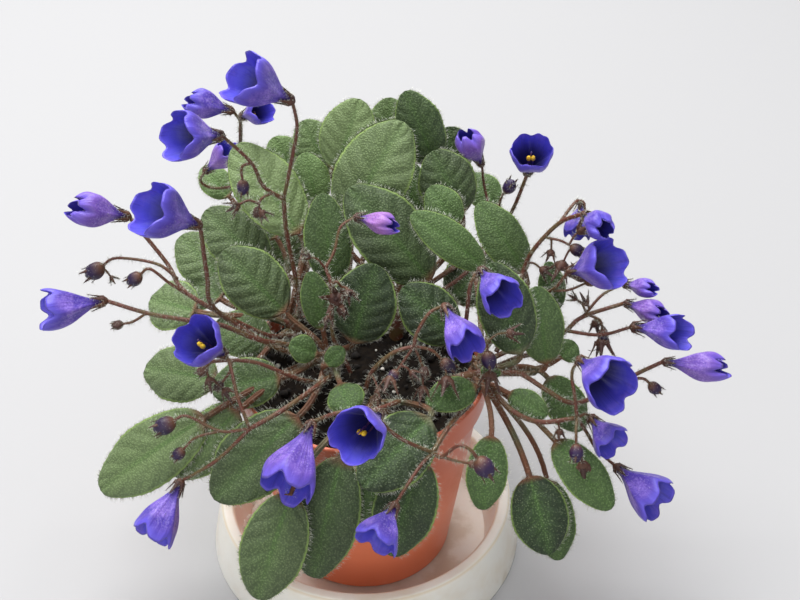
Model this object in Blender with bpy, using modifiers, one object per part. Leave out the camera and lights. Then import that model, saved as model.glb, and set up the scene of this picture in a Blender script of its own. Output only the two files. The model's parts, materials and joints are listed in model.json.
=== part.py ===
"""Potted cape primrose in flower: leafy stems, flower stalks and bells in a plastic pot on a saucer."""

import math

import bmesh
import bpy
import numpy as np
from mathutils import Vector

# Lengths below are in millimetres, and MM turns them into metres where a mesh is made.
MM = 0.001
MERGE = 0.00002
GAP = 0.3
SHARP_ANGLE = math.radians(50)

# Pot: a standard 90 mm plastic plant pot with a deep band at its rim.
RIM_RADIUS = 45.0
RIM_TOP = 85.0
BAND_HEIGHT = 11.0
BAND_STEP = 2.4
FOOT_RADIUS = 32.0
POT_WALL = 1.4
POT_FLOOR = 2.0
DRAIN_HOLES = 5
DRAIN_RADIUS = 3.5
DRAIN_CIRCLE = 18.0
EDGE_ROUND = 0.5
FLOOR_ROUND = 1.5
TURN_STEPS = 32

# Saucer: an inner dish, a broad flat lip, and a skirt that widens down to the table.
DISH_FOOT = 47.0
DISH_RADIUS = 51.0
LIP_TOP = 22.0
LIP_RADIUS = 56.0
SKIRT_RADIUS = 60.0
LIP_ROUND = 1.0
LIP_THICK = 2.0
SAUCER_WALL = 1.5
DISH_FLOOR = 1.5

# Soil, and the plain holes that the leafy stems stand in.
SOIL_TOP = 78.0
SOIL_CROWN = 1.5
SOIL_CROWN_RADIUS = 24.0
HOLE_DEPTH = 14.0
HOLE_SIDES = 12
CUT_PAST = 2.0

# Leafy stems: where each leaves the soil, and its growing point.
STEM_RADIUS = 3.0
COLLAR_HEIGHT = 3.0
STEM_TAPER = 0.8
THIN_STEM = 0.95
LEAFED_PART = 0.6
STEMS = {
    "centre": ((-11, 3), (-13, 0, 91)),
    "right": ((29, -8), (43, -14, 93)),
    "back": ((12, 24), (14, 26, 92)),
    "left": ((-25, 17), (-28, 20, 91)),
    "front": ((4, -20), (5, -25, 90)),
    "rear": ((-6, 33), (-8, 38, 90)),
}

# The two sides that blades turn their faces to.
WINDOW = (0.0, -0.62, 0.78)
BEHIND = (0.0, 0.62, 0.78)

# Leaves: stem, neck where the blade starts, tip, blade width, and the side it faces.
LEAVES = [
    ("back", (-10, 52, 134), (-1, 60, 160), 21, WINDOW),
    ("back", (8, 66, 131), (10, 74, 153), 18, WINDOW),
    ("back", (-7, 38, 120), (15, 52, 155), 28, WINDOW),
    ("back", (26, 60, 133), (15, 66, 160), 18, WINDOW),
    ("back", (34, 76, 119), (32, 82, 136), 20, WINDOW),
    ("back", (36, 44, 121), (25, 52, 143), 22, WINDOW),
    ("right", (34, 34, 122), (24, 42, 134), 14, WINDOW),
    ("right", (43, 16, 117), (17, 20, 137), 14, WINDOW),
    ("back", (24, 20, 108), (-5, 32, 140), 26, WINDOW),
    ("centre", (-28, 8, 103), (-49, 16, 124), 22, WINDOW),
    ("centre", (-14, 2, 100), (-18, 8, 121), 11, WINDOW),
    ("centre", (-3, -4, 99), (5, 4, 127), 23, WINDOW),
    ("right", (33, 0, 97), (14, 8, 114), 20, WINDOW),
    ("centre", (-16, -8, 97), (-25, -10, 103), 10, WINDOW),
    ("centre", (-12, -14, 97), (-6, -12, 103), 7, WINDOW),
    ("centre", (-7, -22, 95), (-3, -32, 91), 13, WINDOW),
    ("left", (-36, 28, 108), (-58, 40, 125), 21, WINDOW),
    ("left", (-23, 30, 122), (-46, 46, 149), 23, WINDOW),
    ("left", (-33, 44, 110), (-46, 56, 121), 14, WINDOW),
    ("left", (-17, 46, 123), (-22, 56, 140), 14, WINDOW),
    ("left", (-11, 18, 108), (-14, 30, 139), 17, WINDOW),
    ("left", (-25, 66, 122), (-35, 72, 137), 16, WINDOW),
    ("left", (-53, 68, 113), (-64, 76, 121), 12, WINDOW),
    ("left", (-61, 16, 97), (-80, 28, 93), 20, WINDOW),
    ("left", (-53, 26, 95), (-66, 40, 95), 20, WINDOW),
    ("left", (-51, -12, 88), (-79, 2, 82), 21, WINDOW),
    ("centre", (-28, -17, 94), (-52, -18, 89), 18, WINDOW),
    ("centre", (-43, -24, 86), (-59, -26, 68), 15, WINDOW),
    ("centre", (-53, -30, 87), (-91, -38, 60), 23, WINDOW),
    ("centre", (-42, -28, 88), (-64, -40, 69), 19, WINDOW),
    ("centre", (-21, -34, 91), (-49, -52, 70), 25, WINDOW),
    ("front", (-22, -60, 81), (-34, -76, 48), 22, WINDOW),
    ("front", (-6, -50, 88), (-16, -66, 47), 22, WINDOW),
    ("front", (23, -38, 94), (1, -58, 82), 23, WINDOW),
    ("front", (8, -50, 86), (2, -58, 60), 16, WINDOW),
    ("front", (20, -50, 87), (10, -66, 58), 21, WINDOW),
    ("right", (44, -38, 86), (41, -52, 65), 14, WINDOW),
    ("right", (58, -38, 67), (65, -54, 45), 20, WINDOW),
    ("right", (66, -26, 53), (71, -40, 26), 16, WINDOW),
    ("right", (67, -30, 76), (86, -46, 59), 15, WINDOW),
    ("right", (39, -22, 94), (22, -32, 95), 12, WINDOW),
    ("right", (51, -20, 89), (64, -26, 84), 10, WINDOW),
    ("right", (44, -18, 94), (45, -16, 99), 7, WINDOW),
    ("right", (55, -10, 99), (44, 2, 129), 20, WINDOW),
    ("right", (65, -6, 91), (60, 2, 119), 16, WINDOW),
    ("right", (58, 20, 112), (41, 30, 135), 16, WINDOW),
    ("back", (51, 64, 111), (40, 72, 120), 14, WINDOW),
    ("right", (69, 12, 100), (66, 18, 118), 10, WINDOW),
    ("right", (71, 2, 87), (77, 6, 90), 10, WINDOW),
    ("back", (17, 50, 112), (18, 62, 132), 13, WINDOW),
    ("left", (-51, 34, 95), (-70, 48, 108), 20, WINDOW),
    ("rear", (-32, 52, 88), (-34, 64, 108), 20, WINDOW),
    ("left", (-34, 7, 89), (-54, 14, 93), 18, WINDOW),
    ("right", (66, -6, 84), (79, -14, 66), 15, WINDOW),
    ("rear", (-13, 66, 125), (-24, 74, 143), 18, WINDOW),
    ("rear", (-20, 66, 92), (-34, 90, 70), 21, BEHIND),
    ("rear", (6, 72, 94), (8, 98, 66), 22, BEHIND),
    ("rear", (30, 62, 92), (46, 84, 68), 21, BEHIND),
    ("rear", (-44, 52, 88), (-68, 64, 66), 20, BEHIND),
    ("back", (32, 34, 89), (52, 48, 100), 22, WINDOW),
    ("rear", (-6, 56, 106), (-12, 84, 100), 22, BEHIND),
    ("back", (22, 56, 108), (34, 80, 98), 21, BEHIND),
]

# Shape of a leaf: its arch, its fold along the midrib, its curled margins and its thickness.
ARCH = math.radians(16)
PETIOLE_RADIUS = 1.1
MIDRIB_FOLD = 0.22
MARGIN_CURL = 0.30
BLADE_THICK = 0.9
GROOVE = 0.35
RIB_DEPTH = 1.3
QUARTER = 0.55
SHORT_PETIOLE = 22.0
SMALL_LEAF = 16.0
SHORT_PETIOLE_STATIONS = (0.0, 0.6)
PETIOLE_STATIONS = (0.0, 0.4, 0.8)
SMALL_BLADE_STATIONS = (0.06, 0.35, 0.7, 0.92)
BLADE_STATIONS = (0.05, 0.2, 0.45, 0.7, 0.9)

# A petiole leaves its stem turned upward: most where its neck is well above its root.
RISE_LEAST = 0.36
RISE_LEVEL = 0.4
RISE_MOST = 0.8
RISE_PER_MM = 0.04

# Flower stalks: the stems of each, with radius, points along it, and what it ends in.
# The first stem of a stalk starts beside a leafy stem, and the others branch from it.
OPEN, FOLDED, BUD = "open", "folded", "bud"
STALKS = [
    [
        (1.1, [(-23, 16, 94), (-23, 12, 110), (-25, 6, 138), (-25, 3, 154)], None),
        (0.8, [(-25, 3, 154), (-21, 1, 172), (-19, 0, 183), (-20, 0, 192)], (OPEN, (-36, -5, 204), 8)),
        (0.8, [(-25, 3, 154), (-31, 0, 161), (-34, -2, 171), (-42, -4, 182)],
         (OPEN, (-56, -14, 188), 7.5)),
        (0.6, [(-34, -2, 171), (-37, -3, 170), (-37, -4, 165)], (BUD, None, 2.0)),
        (0.6, [(-28, 1, 158), (-32, 0, 156), (-33, -1, 153)], (BUD, None, 1.5)),
    ],
    [
        (1.0, [(-34, 24, 92), (-42, 36, 98), (-47, 52, 108), (-46, 62, 122), (-46, 61, 140)], None),
        (0.8, [(-46, 61, 140), (-45, 60, 150), (-47, 58, 156)], (FOLDED, (-63, 56, 162), 5.5)),
        (0.7, [(-46, 61, 140), (-45, 57, 149), (-44, 54, 156)], (OPEN, (-34, 47, 163), 5)),
        (0.7, [(-46, 62, 122), (-58, 66, 118), (-63, 66, 121), (-61, 65, 126)],
         (OPEN, (-49, 64, 137), 5)),
    ],
    [
        (1.1, [(-25, 13, 88), (-30, 5, 94), (-36, 0, 100), (-53, -4, 115), (-62, 0, 120), (-67, 6, 126),
               (-79, 12, 141)], (FOLDED, (-96, 5, 150), 6)),
        (0.7, [(-59, -2, 118), (-65, -3, 124), (-71, -3, 130), (-75, -3, 127)], (BUD, None, 2.4)),
        (0.7, [(-63, 2, 122), (-70, 4, 127), (-84, 6, 128), (-90, 6, 124)], (BUD, None, 3.0)),
    ],
    [
        (1.1, [(-20, -4, 92), (-32, -10, 103), (-49, -12, 120), (-51, -8, 131), (-52, -5, 149)],
         (OPEN, (-68, -12, 161), 9)),
    ],
    [
        (1.1, [(-17, -3, 95), (-26, -9, 102), (-35, -16, 110), (-47, -18, 118), (-60, -14, 117),
               (-73, -8, 115), (-87, -5, 118)], (OPEN, (-108, -12, 119), 7)),
        (0.6, [(-73, -8, 115), (-78, -9, 112), (-82, -9, 111)], (BUD, None, 1.6)),
    ],
    [
        (1.2, [(-10, -10, 89), (-12, -18, 94), (-17, -29, 98), (-26, -40, 99), (-36, -44, 95)], None),
        (0.8, [(-36, -44, 95), (-40, -38, 104), (-43, -28, 109), (-45, -24, 110)],
         (OPEN, (-54, -32, 124), 8.5)),
        (0.7, [(-36, -44, 95), (-46, -43, 93), (-57, -40, 97), (-62, -41, 95)], (BUD, None, 3.0)),
        (0.6, [(-46, -43, 93), (-54, -44, 91), (-59, -45, 86)], (BUD, None, 2.0)),
        (0.8, [(-36, -44, 95), (-46, -47, 85), (-54, -48, 79), (-60, -48, 75)],
         (OPEN, (-70, -62, 61), 7)),
    ],
    [
        (0.9, [(-16, -13, 88), (-22, -20, 96), (-36, -22, 105), (-49, -24, 107), (-52, -24, 104)],
         (BUD, None, 1.8)),
        (0.6, [(-43, -24, 107), (-44, -25, 103), (-47, -26, 99)], (BUD, None, 1.6)),
    ],
    [
        (1.0, [(9, -29, 91), (13, -35, 99), (4, -44, 103), (-6, -47, 105), (-15, -46, 100)],
         (OPEN, (-24, -67, 88), 9)),
    ],
    [
        (1.2, [(38, -20, 87), (33, -30, 88), (29, -40, 91), (24, -50, 90)], None),
        (0.8, [(24, -50, 90), (15, -53, 98), (9, -54, 105), (7, -54, 111)], (OPEN, (-1, -71, 116), 8.5)),
        (0.8, [(24, -50, 90), (27, -51, 89), (32, -53, 96), (36, -54, 95), (39, -55, 91)],
         (BUD, None, 3.2)),
        (0.6, [(27, -51, 89), (32, -52, 88), (36, -52, 87)], (BUD, None, 1.3)),
        (0.8, [(24, -50, 90), (20, -55, 89), (16, -62, 88), (12, -67, 84)], (OPEN, (5, -79, 77), 7)),
    ],
    [
        (0.9, [(-4, -9, 89), (-7, -7, 96), (-10, -6, 103), (-10, -6, 114), (-10, -4, 124),
               (-12, 0, 128)], None),
        (0.7, [(-12, 0, 128), (-9, 5, 132), (-7, 10, 138), (-2, 12, 141)], (FOLDED, (12, 5, 142), 4)),
        (0.6, [(-10, -4, 124), (-8, -5, 126), (-6, -5, 123)], (BUD, None, 1.8)),
        (0.6, [(-10, -5, 118), (-8, -6, 119), (-7, -6, 116)], (BUD, None, 1.8)),
    ],
    [
        (1.0, [(1, -21, 90), (4, -22, 101), (11, -22, 109), (18, -22, 112)], None),
        (0.8, [(18, -22, 112), (19, -20, 116), (23, -17, 122), (28, -14, 123)],
         (OPEN, (36, -31, 117), 6.5)),
        (0.6, [(18, -22, 112), (15, -24, 108), (12, -26, 104)], (BUD, None, 2.0)),
        (0.6, [(18, -22, 112), (20, -23, 107), (21, -24, 104)], (BUD, None, 1.8)),
        (0.7, [(18, -22, 112), (24, -22, 110), (28, -23, 106)], (BUD, None, 2.4)),
    ],
    [
        (1.0, [(39, -12, 97), (35, -12, 102), (36, -10, 116), (37, -8, 127), (40, -6, 132)],
         (OPEN, (48, -23, 131), 7)),
        (0.6, [(36, -12, 104), (42, -17, 110), (43, -19, 106)], (BUD, None, 2.6)),
    ],
    [
        (1.1, [(47, -6, 96), (52, 0, 104), (55, 7, 111), (57, 13, 118), (60, 14, 126), (68, 14, 137),
               (75, 8, 145)], (FOLDED, (81, -5, 147), 5)),
        (0.7, [(68, 14, 137), (74, 21, 141), (77, 26, 138)], (OPEN, (75, 17, 129), 5)),
        (0.8, [(55, 7, 111), (66, 6, 114), (71, 2, 125)], (OPEN, (85, -6, 135), 8.5)),
        (0.6, [(64, 14, 131), (69, 12, 131), (73, 11, 129)], (BUD, None, 2.2)),
        (0.6, [(66, 6, 114), (72, 5, 115), (78, 4, 119)], (BUD, None, 1.8)),
    ],
    [
        (1.1, [(48, -4, 88), (56, 2, 87), (64, 2, 90), (72, 1, 100), (78, 4, 104), (93, 8, 107)],
         (FOLDED, (105, -3, 110), 4.5)),
        (0.7, [(78, 4, 104), (85, 10, 109), (93, 14, 111)], (FOLDED, (102, 4, 116), 3.5)),
        (0.8, [(72, 1, 100), (83, -5, 103), (93, -8, 109)], (OPEN, (109, -19, 115), 6)),
        (0.6, [(80, 5, 104), (84, 3, 103), (85, 2, 99)], (BUD, None, 2.0)),
    ],
    [
        (1.1, [(49, -15, 94), (55, -14, 93), (64, -18, 89), (72, -20, 85), (80, -16, 83), (96, -10, 89),
               (105, -10, 95)], (FOLDED, (126, -16, 97), 5.5)),
        (0.7, [(95, -11, 88), (99, -11, 88), (102, -11, 85)], (BUD, None, 2.2)),
    ],
    [
        (1.2, [(46, -21, 90), (52, -28, 88), (61, -30, 85), (74, -28, 85)], None),
        (0.8, [(74, -28, 85), (73, -24, 92), (72, -20, 98), (74, -18, 103)],
         (OPEN, (85, -36, 105), 9.5)),
        (0.7, [(74, -28, 85), (77, -26, 85), (79, -24, 82)], (OPEN, (87, -35, 78), 6.5)),
        (0.8, [(74, -28, 85), (78, -28, 78), (82, -29, 71), (89, -30, 64)], (OPEN, (104, -44, 59), 8)),
        (0.7, [(74, -28, 85), (73, -34, 85), (73, -38, 81)], (BUD, None, 2.4)),
    ],
    [
        (1.0, [(22, 28, 93), (35, 34, 98), (48, 44, 107), (55, 43, 124), (59, 40, 141)],
         (OPEN, (59, 31, 157), 7.5)),
        (0.6, [(50, 43, 112), (50, 42, 128), (52, 41, 133)], (BUD, None, 2.4)),
        (0.7, [(48, 44, 107), (47, 54, 116), (45, 60, 124), (44, 60, 132)],
         (FOLDED, (37, 58, 147), 5.5)),
    ],
    [
        (1.1, [(-2, 43, 96), (2, 54, 105), (6, 68, 111), (8, 80, 112)], None),
        (0.8, [(8, 80, 112), (4, 82, 118), (-1, 84, 122)], (OPEN, (-5, 102, 118), 8)),
        (0.8, [(8, 80, 112), (15, 82, 117), (20, 84, 120)], (OPEN, (27, 101, 116), 8)),
        (0.7, [(8, 80, 112), (10, 86, 112), (11, 90, 108)], (FOLDED, (12, 103, 98), 5)),
    ],
]

# Shape of a bell: rings from base to rim, as (share of its length, share of the mouth radius).
BELL_START = 1.6
BELL_WALL = 0.7
BELL_RINGS = {OPEN: ((0.37, 0.41), (0.66, 0.84)), FOLDED: ((0.32, 0.42), (0.66, 0.95))}
BELL_RIM = {OPEN: (0.97, 1.0), FOLDED: (1.0, 0.55)}
BELL_THROAT = {OPEN: (0.48, 0.52), FOLDED: (0.5, 0.6)}
LOBES = 5
POINTS_PER_LOBE = 3
NOTCH_BACK = 0.13
NOTCH_NARROW = 0.88
LOWER_LIP = 0.12

# Bud: a pointed ball at the end of its stem.
BUD_SIDES = 5
BUD_RINGS = 4
BUD_STRETCH = 1.35
BUD_SHIFT = 0.9

# Calyx: a small cup with five pointed sepals.
CUP_FOOT = 0.8
CUP_RADIUS = 1.9
CUP_HEIGHT = 1.6
CUP_FLOOR = 0.9
SEPAL_LENGTH = 6.0
SEPAL_SPREAD = 3.3
SEPAL_THICK = 0.6
SMALL_BELL = 5.5
SMALL_CALYX = 0.8

COLOURS = {
    "pot": ((0.62, 0.20, 0.11), 0.35),
    "saucer": ((0.86, 0.84, 0.78), 0.40),
    "soil": ((0.035, 0.028, 0.022), 0.95),
    "leafy_stem": ((0.13, 0.22, 0.09), 0.80),
    "flower_stalk": ((0.21, 0.09, 0.06), 0.75),
    "bloom": ((0.13, 0.08, 0.55), 0.60),
}


def clear_scene():
    for thing in list(bpy.data.objects):
        bpy.data.objects.remove(thing)


def new_collection(name):
    group = bpy.data.collections.new(name)
    bpy.context.scene.collection.children.link(group)
    return group


def mesh_object(name, points, faces, group):
    """An object whose points are given in millimetres."""
    mesh = bpy.data.meshes.new(name)
    mesh.from_pydata([tuple(point) for point in np.asarray(points) * MM], [], faces)
    thing = bpy.data.objects.new(name, mesh)
    group.objects.link(thing)
    return thing


def unit(vector):
    return vector / np.linalg.norm(vector)


def evaluated_copy(thing, name, group):
    """A plain mesh object with the modifiers, or the curve, of another worked in."""
    bpy.context.view_layer.update()
    evaluated = thing.evaluated_get(bpy.context.evaluated_depsgraph_get())
    copy = bpy.data.objects.new(name, bpy.data.meshes.new_from_object(evaluated))
    copy.matrix_world = thing.matrix_world
    group.objects.link(copy)
    bpy.data.objects.remove(thing)
    return copy


def weld(thing):
    cage = bmesh.new()
    cage.from_mesh(thing.data)
    bmesh.ops.remove_doubles(cage, verts=cage.verts, dist=MERGE)
    cage.to_mesh(thing.data)
    cage.free()


def fused(name, pieces, group):
    """One solid from pieces that cross each other, by one Boolean union on their collection."""
    first, rest = pieces[0], pieces[1:]
    others = new_collection(name + "_pieces")
    for piece in rest:
        for holder in list(piece.users_collection):
            holder.objects.unlink(piece)
        others.objects.link(piece)
    if rest:
        union = first.modifiers.new("union", "BOOLEAN")
        union.operation = "UNION"
        union.operand_type = "COLLECTION"
        union.solver = "MANIFOLD"
        union.collection = others
    node = evaluated_copy(first, name, group)
    for piece in rest:
        bpy.data.objects.remove(piece)
    bpy.data.collections.remove(others)
    return node


def finished(thing, kind):
    """Smooth shading with crisp edges, and the node's own material."""
    colour, roughness = COLOURS[kind]
    thing.data.shade_smooth()
    thing.data.set_sharp_from_angle(angle=SHARP_ANGLE)
    material = bpy.data.materials.new(thing.name)
    material.use_nodes = True
    shader = material.node_tree.nodes["Principled BSDF"]
    shader.inputs["Base Color"].default_value = (*colour, 1.0)
    shader.inputs["Roughness"].default_value = roughness
    shader.inputs["Metallic"].default_value = 0.0
    thing.data.materials.clear()
    thing.data.materials.append(material)
    return thing


def turned(name, profile, group):
    """A solid of revolution: the profile runs down the outer side and back up the inner one."""
    count = len(profile)
    edges = [(i, i + 1) for i in range(count - 1)]
    mesh = bpy.data.meshes.new(name)
    mesh.from_pydata([(r * MM, 0.0, z * MM) for r, z in profile], edges, [])
    thing = bpy.data.objects.new(name, mesh)
    group.objects.link(thing)
    screw = thing.modifiers.new("turn", "SCREW")
    screw.steps = TURN_STEPS
    screw.render_steps = TURN_STEPS
    screw.use_merge_vertices = True
    screw.merge_threshold = MERGE
    return thing


def cylinder_cutter(name, radius, bottom, top, x, y, cutters):
    cage = bmesh.new()
    bmesh.ops.create_cone(cage, cap_ends=True, segments=HOLE_SIDES, radius1=radius * MM,
                          radius2=radius * MM, depth=(top - bottom) * MM)
    mesh = bpy.data.meshes.new(name)
    cage.to_mesh(mesh)
    cage.free()
    cutter = bpy.data.objects.new(name, mesh)
    cutter.location = (x * MM, y * MM, (top + bottom) / 2 * MM)
    cutter.hide_render = True
    cutter.display_type = "WIRE"
    cutters.objects.link(cutter)
    return cutter


def cut(thing, cutter):
    hole = thing.modifiers.new(cutter.name, "BOOLEAN")
    hole.operation = "DIFFERENCE"
    hole.object = cutter


def build_saucer(group):
    profile = [
        (0.0, DISH_FLOOR),
        (DISH_FOOT, DISH_FLOOR),
        (DISH_RADIUS, LIP_TOP - LIP_ROUND),
        (DISH_RADIUS + LIP_ROUND, LIP_TOP),
        (LIP_RADIUS - LIP_ROUND, LIP_TOP),
        (LIP_RADIUS, LIP_TOP - LIP_ROUND),
        (SKIRT_RADIUS, 0.0),
        (SKIRT_RADIUS - SAUCER_WALL, 0.0),
        (LIP_RADIUS - SAUCER_WALL, LIP_TOP - LIP_THICK),
        (DISH_RADIUS + SAUCER_WALL, LIP_TOP - LIP_THICK),
        (DISH_FOOT + SAUCER_WALL, DISH_FLOOR - SAUCER_WALL),
        (0.0, DISH_FLOOR - SAUCER_WALL),
    ]
    return finished(turned("saucer", profile, group), "saucer")


def pot_foot_height():
    return DISH_FLOOR + GAP


def pot_inner_radius(height):
    """Inside radius of the pot's wall at a height."""
    bottom = pot_foot_height()
    under_band = RIM_RADIUS - BAND_STEP
    share = (height - bottom) / (RIM_TOP - BAND_HEIGHT - bottom)
    return FOOT_RADIUS + (under_band - FOOT_RADIUS) * min(share, 1.0) - POT_WALL


def build_pot(group, cutters):
    bottom = pot_foot_height()
    under_band = RIM_RADIUS - BAND_STEP
    band_foot = RIM_TOP - BAND_HEIGHT
    floor = bottom + POT_FLOOR
    profile = [
        (0.0, floor),
        (pot_inner_radius(floor) - FLOOR_ROUND, floor),
        (pot_inner_radius(floor + FLOOR_ROUND), floor + FLOOR_ROUND),
        (under_band - POT_WALL, band_foot),
        (RIM_RADIUS - POT_WALL, band_foot + BAND_STEP),
        (RIM_RADIUS - POT_WALL, RIM_TOP),
        (RIM_RADIUS - EDGE_ROUND, RIM_TOP),
        (RIM_RADIUS, RIM_TOP - EDGE_ROUND),
        (RIM_RADIUS - EDGE_ROUND, band_foot + EDGE_ROUND),
        (RIM_RADIUS - 2 * EDGE_ROUND, band_foot),
        (under_band, band_foot - EDGE_ROUND),
        (FOOT_RADIUS + EDGE_ROUND, bottom + 2 * EDGE_ROUND),
        (FOOT_RADIUS - EDGE_ROUND, bottom),
        (0.0, bottom),
    ]
    pot = turned("pot", profile, group)
    for index in range(DRAIN_HOLES):
        angle = math.tau * index / DRAIN_HOLES
        x, y = DRAIN_CIRCLE * math.cos(angle), DRAIN_CIRCLE * math.sin(angle)
        name = f"drain_cutter_{index + 1}"
        cut(pot, cylinder_cutter(name, DRAIN_RADIUS, bottom - CUT_PAST, floor + CUT_PAST, x, y, cutters))
    return finished(pot, "pot")


def build_soil(group, cutters):
    """Soil fills the pot up to its band, a little higher in the middle."""
    floor = pot_foot_height() + POT_FLOOR + GAP
    profile = [
        (0.0, SOIL_TOP + SOIL_CROWN),
        (SOIL_CROWN_RADIUS, SOIL_TOP + 0.6 * SOIL_CROWN),
        (RIM_RADIUS - POT_WALL - GAP, SOIL_TOP),
        (RIM_RADIUS - POT_WALL - GAP, RIM_TOP - BAND_HEIGHT + BAND_STEP + GAP),
        (pot_inner_radius(RIM_TOP) - GAP, RIM_TOP - BAND_HEIGHT + GAP),
        (pot_inner_radius(floor + FLOOR_ROUND) - GAP, floor + FLOOR_ROUND),
        (pot_inner_radius(floor) - FLOOR_ROUND - GAP, floor),
        (0.0, floor),
    ]
    soil = turned("soil", profile, group)
    bottom = SOIL_TOP - HOLE_DEPTH
    top = SOIL_TOP + SOIL_CROWN + CUT_PAST
    for name, ((x, y), growing_point) in STEMS.items():
        hole = cylinder_cutter(name + "_hole_cutter", STEM_RADIUS + 2 * GAP, bottom, top, x, y, cutters)
        cut(soil, hole)
    return finished(soil, "soil")


def tube(name, points, radius, group):
    """A stem: a bevelled curve through its points, made a mesh with welded caps."""
    curve = bpy.data.curves.new(name, "CURVE")
    curve.dimensions = "3D"
    curve.bevel_depth = radius * MM
    curve.bevel_resolution = 0 if radius < THIN_STEM else 1
    curve.use_fill_caps = True
    spline = curve.splines.new("POLY")
    spline.points.add(len(points) - 1)
    for index, point in enumerate(points):
        spline.points[index].co = (*(coordinate * MM for coordinate in point), 1.0)
        spline.points[index].radius = 1.0 + (STEM_TAPER - 1.0) * index / (len(points) - 1)
    thing = bpy.data.objects.new(name, curve)
    group.objects.link(thing)
    thing = evaluated_copy(thing, name, group)
    weld(thing)
    return thing


def hermite(start, end, leave, arrive, share):
    """Points on a cubic from start to end with given end directions."""
    t = np.asarray(share)[:, None]
    return ((2 * t**3 - 3 * t**2 + 1) * start + (t**3 - 2 * t**2 + t) * leave
            + (3 * t**2 - 2 * t**3) * end + (t**3 - t**2) * arrive)


def leaf_line(root, neck, tip, face, blade_stations):
    """Centre line of a petiole and midrib at the stations, with the blade's side direction."""
    chord = unit(tip - neck)
    side = unit(np.cross(chord, face))
    normal = np.cross(side, chord)
    blade_length = np.linalg.norm(tip - neck)
    leave = chord * math.cos(ARCH) + normal * math.sin(ARCH)
    arrive = chord * math.cos(ARCH) - normal * math.sin(ARCH)
    reach = np.linalg.norm(neck - root)
    lift = min(max(RISE_LEVEL + RISE_PER_MM * (neck[2] - root[2]), RISE_LEAST), RISE_MOST)
    rise = unit(unit(neck - root) + lift * np.array([0.0, 0.0, 1.0]))
    petiole_stations = SHORT_PETIOLE_STATIONS if reach < SHORT_PETIOLE else PETIOLE_STATIONS
    petiole = hermite(root, neck, rise * reach, leave * reach, petiole_stations)
    blade = hermite(neck, tip, leave * blade_length, arrive * blade_length, blade_stations)
    return petiole, blade, side


def half_outline(share):
    """Half width of an oval blade, as a share of its widest, at a share of its length."""
    return math.sqrt(max(1.0 - (2.0 * share - 1.0) ** 2, 0.0))


def round_section(radius):
    angles = np.radians([180, 135, 90, 45, 0, -45, -90, -135])
    return radius * np.cos(angles), radius * np.sin(angles)


def blade_section(half_width):
    """Across: eight points. Up: a fold that rises from the midrib, less a curl at the margins."""
    across = np.array([-1.0, -QUARTER, 0.0, QUARTER, 1.0, QUARTER, 0.0, -QUARTER])
    lift = half_width * (MIDRIB_FOLD * np.abs(across) - MARGIN_CURL * across**2)
    half_thick = BLADE_THICK / 2
    groove = half_thick - GROOVE
    skin = np.array([0, half_thick, groove, half_thick, 0, -half_thick, -RIB_DEPTH, -half_thick])
    return across * half_width, lift + skin


def leaf_faces(rings):
    """Triangles between rings of eight, cut the same way on the upper and lower skins."""
    faces = []
    for ring in range(rings - 1):
        for j in range(8):
            a, b = ring * 8 + j, ring * 8 + (j + 1) % 8
            c, d = b + 8, a + 8
            leans_forward = j in (0, 1, 6, 7)
            upper = j < 4
            if leans_forward == upper:
                faces += [(a, b, c), (a, c, d)]
            else:
                faces += [(a, b, d), (b, c, d)]
    last, apex = (rings - 1) * 8, rings * 8
    faces += [(last + j, last + (j + 1) % 8, apex) for j in range(8)]
    faces.append(tuple(range(7, -1, -1)))
    return faces


def leaf(name, root, neck, tip, width, face, group):
    """A leaf: a round petiole that opens into a folded, arched oval blade."""
    root, neck, tip, face = (np.array(v, dtype=float) for v in (root, neck, tip, face))
    blade_stations = SMALL_BLADE_STATIONS if width < SMALL_LEAF else BLADE_STATIONS
    petiole, blade, side = leaf_line(root, neck, tip, face, blade_stations)
    line = np.vstack([petiole, blade])
    ahead = np.vstack([line[1:], tip])
    behind = np.vstack([root, line[:-1]])
    along = ahead - behind
    along /= np.linalg.norm(along, axis=1)[:, None]
    radius = PETIOLE_RADIUS if width > SMALL_LEAF else 0.85 * PETIOLE_RADIUS
    points = []
    for index, centre in enumerate(line):
        across_axis = unit(side - along[index] * np.dot(side, along[index]))
        up_axis = np.cross(across_axis, along[index])
        if index < len(petiole):
            across, up = round_section(radius)
        else:
            share = blade_stations[index - len(petiole)]
            across, up = blade_section(width / 2 * half_outline(share))
        points.append(centre + across[:, None] * across_axis + up[:, None] * up_axis)
    points = np.vstack([*points, tip])
    return mesh_object(name, points, leaf_faces(len(line)), group)


def build_leafy_stem(name, group):
    (x, y), growing_point = STEMS[name]
    foot = (x, y, SOIL_TOP - HOLE_DEPTH + GAP)
    collar = (x, y, SOIL_TOP + COLLAR_HEIGHT)
    pieces = [tube(name + "_stem", [foot, collar, growing_point], STEM_RADIUS, group)]
    own = [row for row in LEAVES if row[0] == name]
    collar, growing_point = np.array(collar), np.array(growing_point, dtype=float)
    for index, (stem, neck, tip, width, face) in enumerate(own):
        down = LEAFED_PART * (index + 1) / (len(own) + 1)
        root = growing_point + (collar - growing_point) * down
        pieces.append(leaf(f"{name}_leaf_{index + 1}", root, neck, tip, width, face, group))
    return finished(fused("leafy_stem_" + name, pieces, group), "leafy_stem")


def bell_frame(base, mouth):
    """Axis of a bell, the direction of its upper lip, and the third direction."""
    axis = unit(mouth - base)
    up = unit(np.array([0.0, 0.0, 1.0]) - axis * axis[2])
    return axis, up, np.cross(axis, up)


def around(centre, axis, up, side, angles, radii, heights):
    """Points round an axis, each at its own radius and height along it."""
    angles, radii, heights = np.broadcast_arrays(angles, radii, heights)
    ring = np.cos(angles)[:, None] * up + np.sin(angles)[:, None] * side
    return centre + radii[:, None] * ring + heights[:, None] * axis


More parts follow.
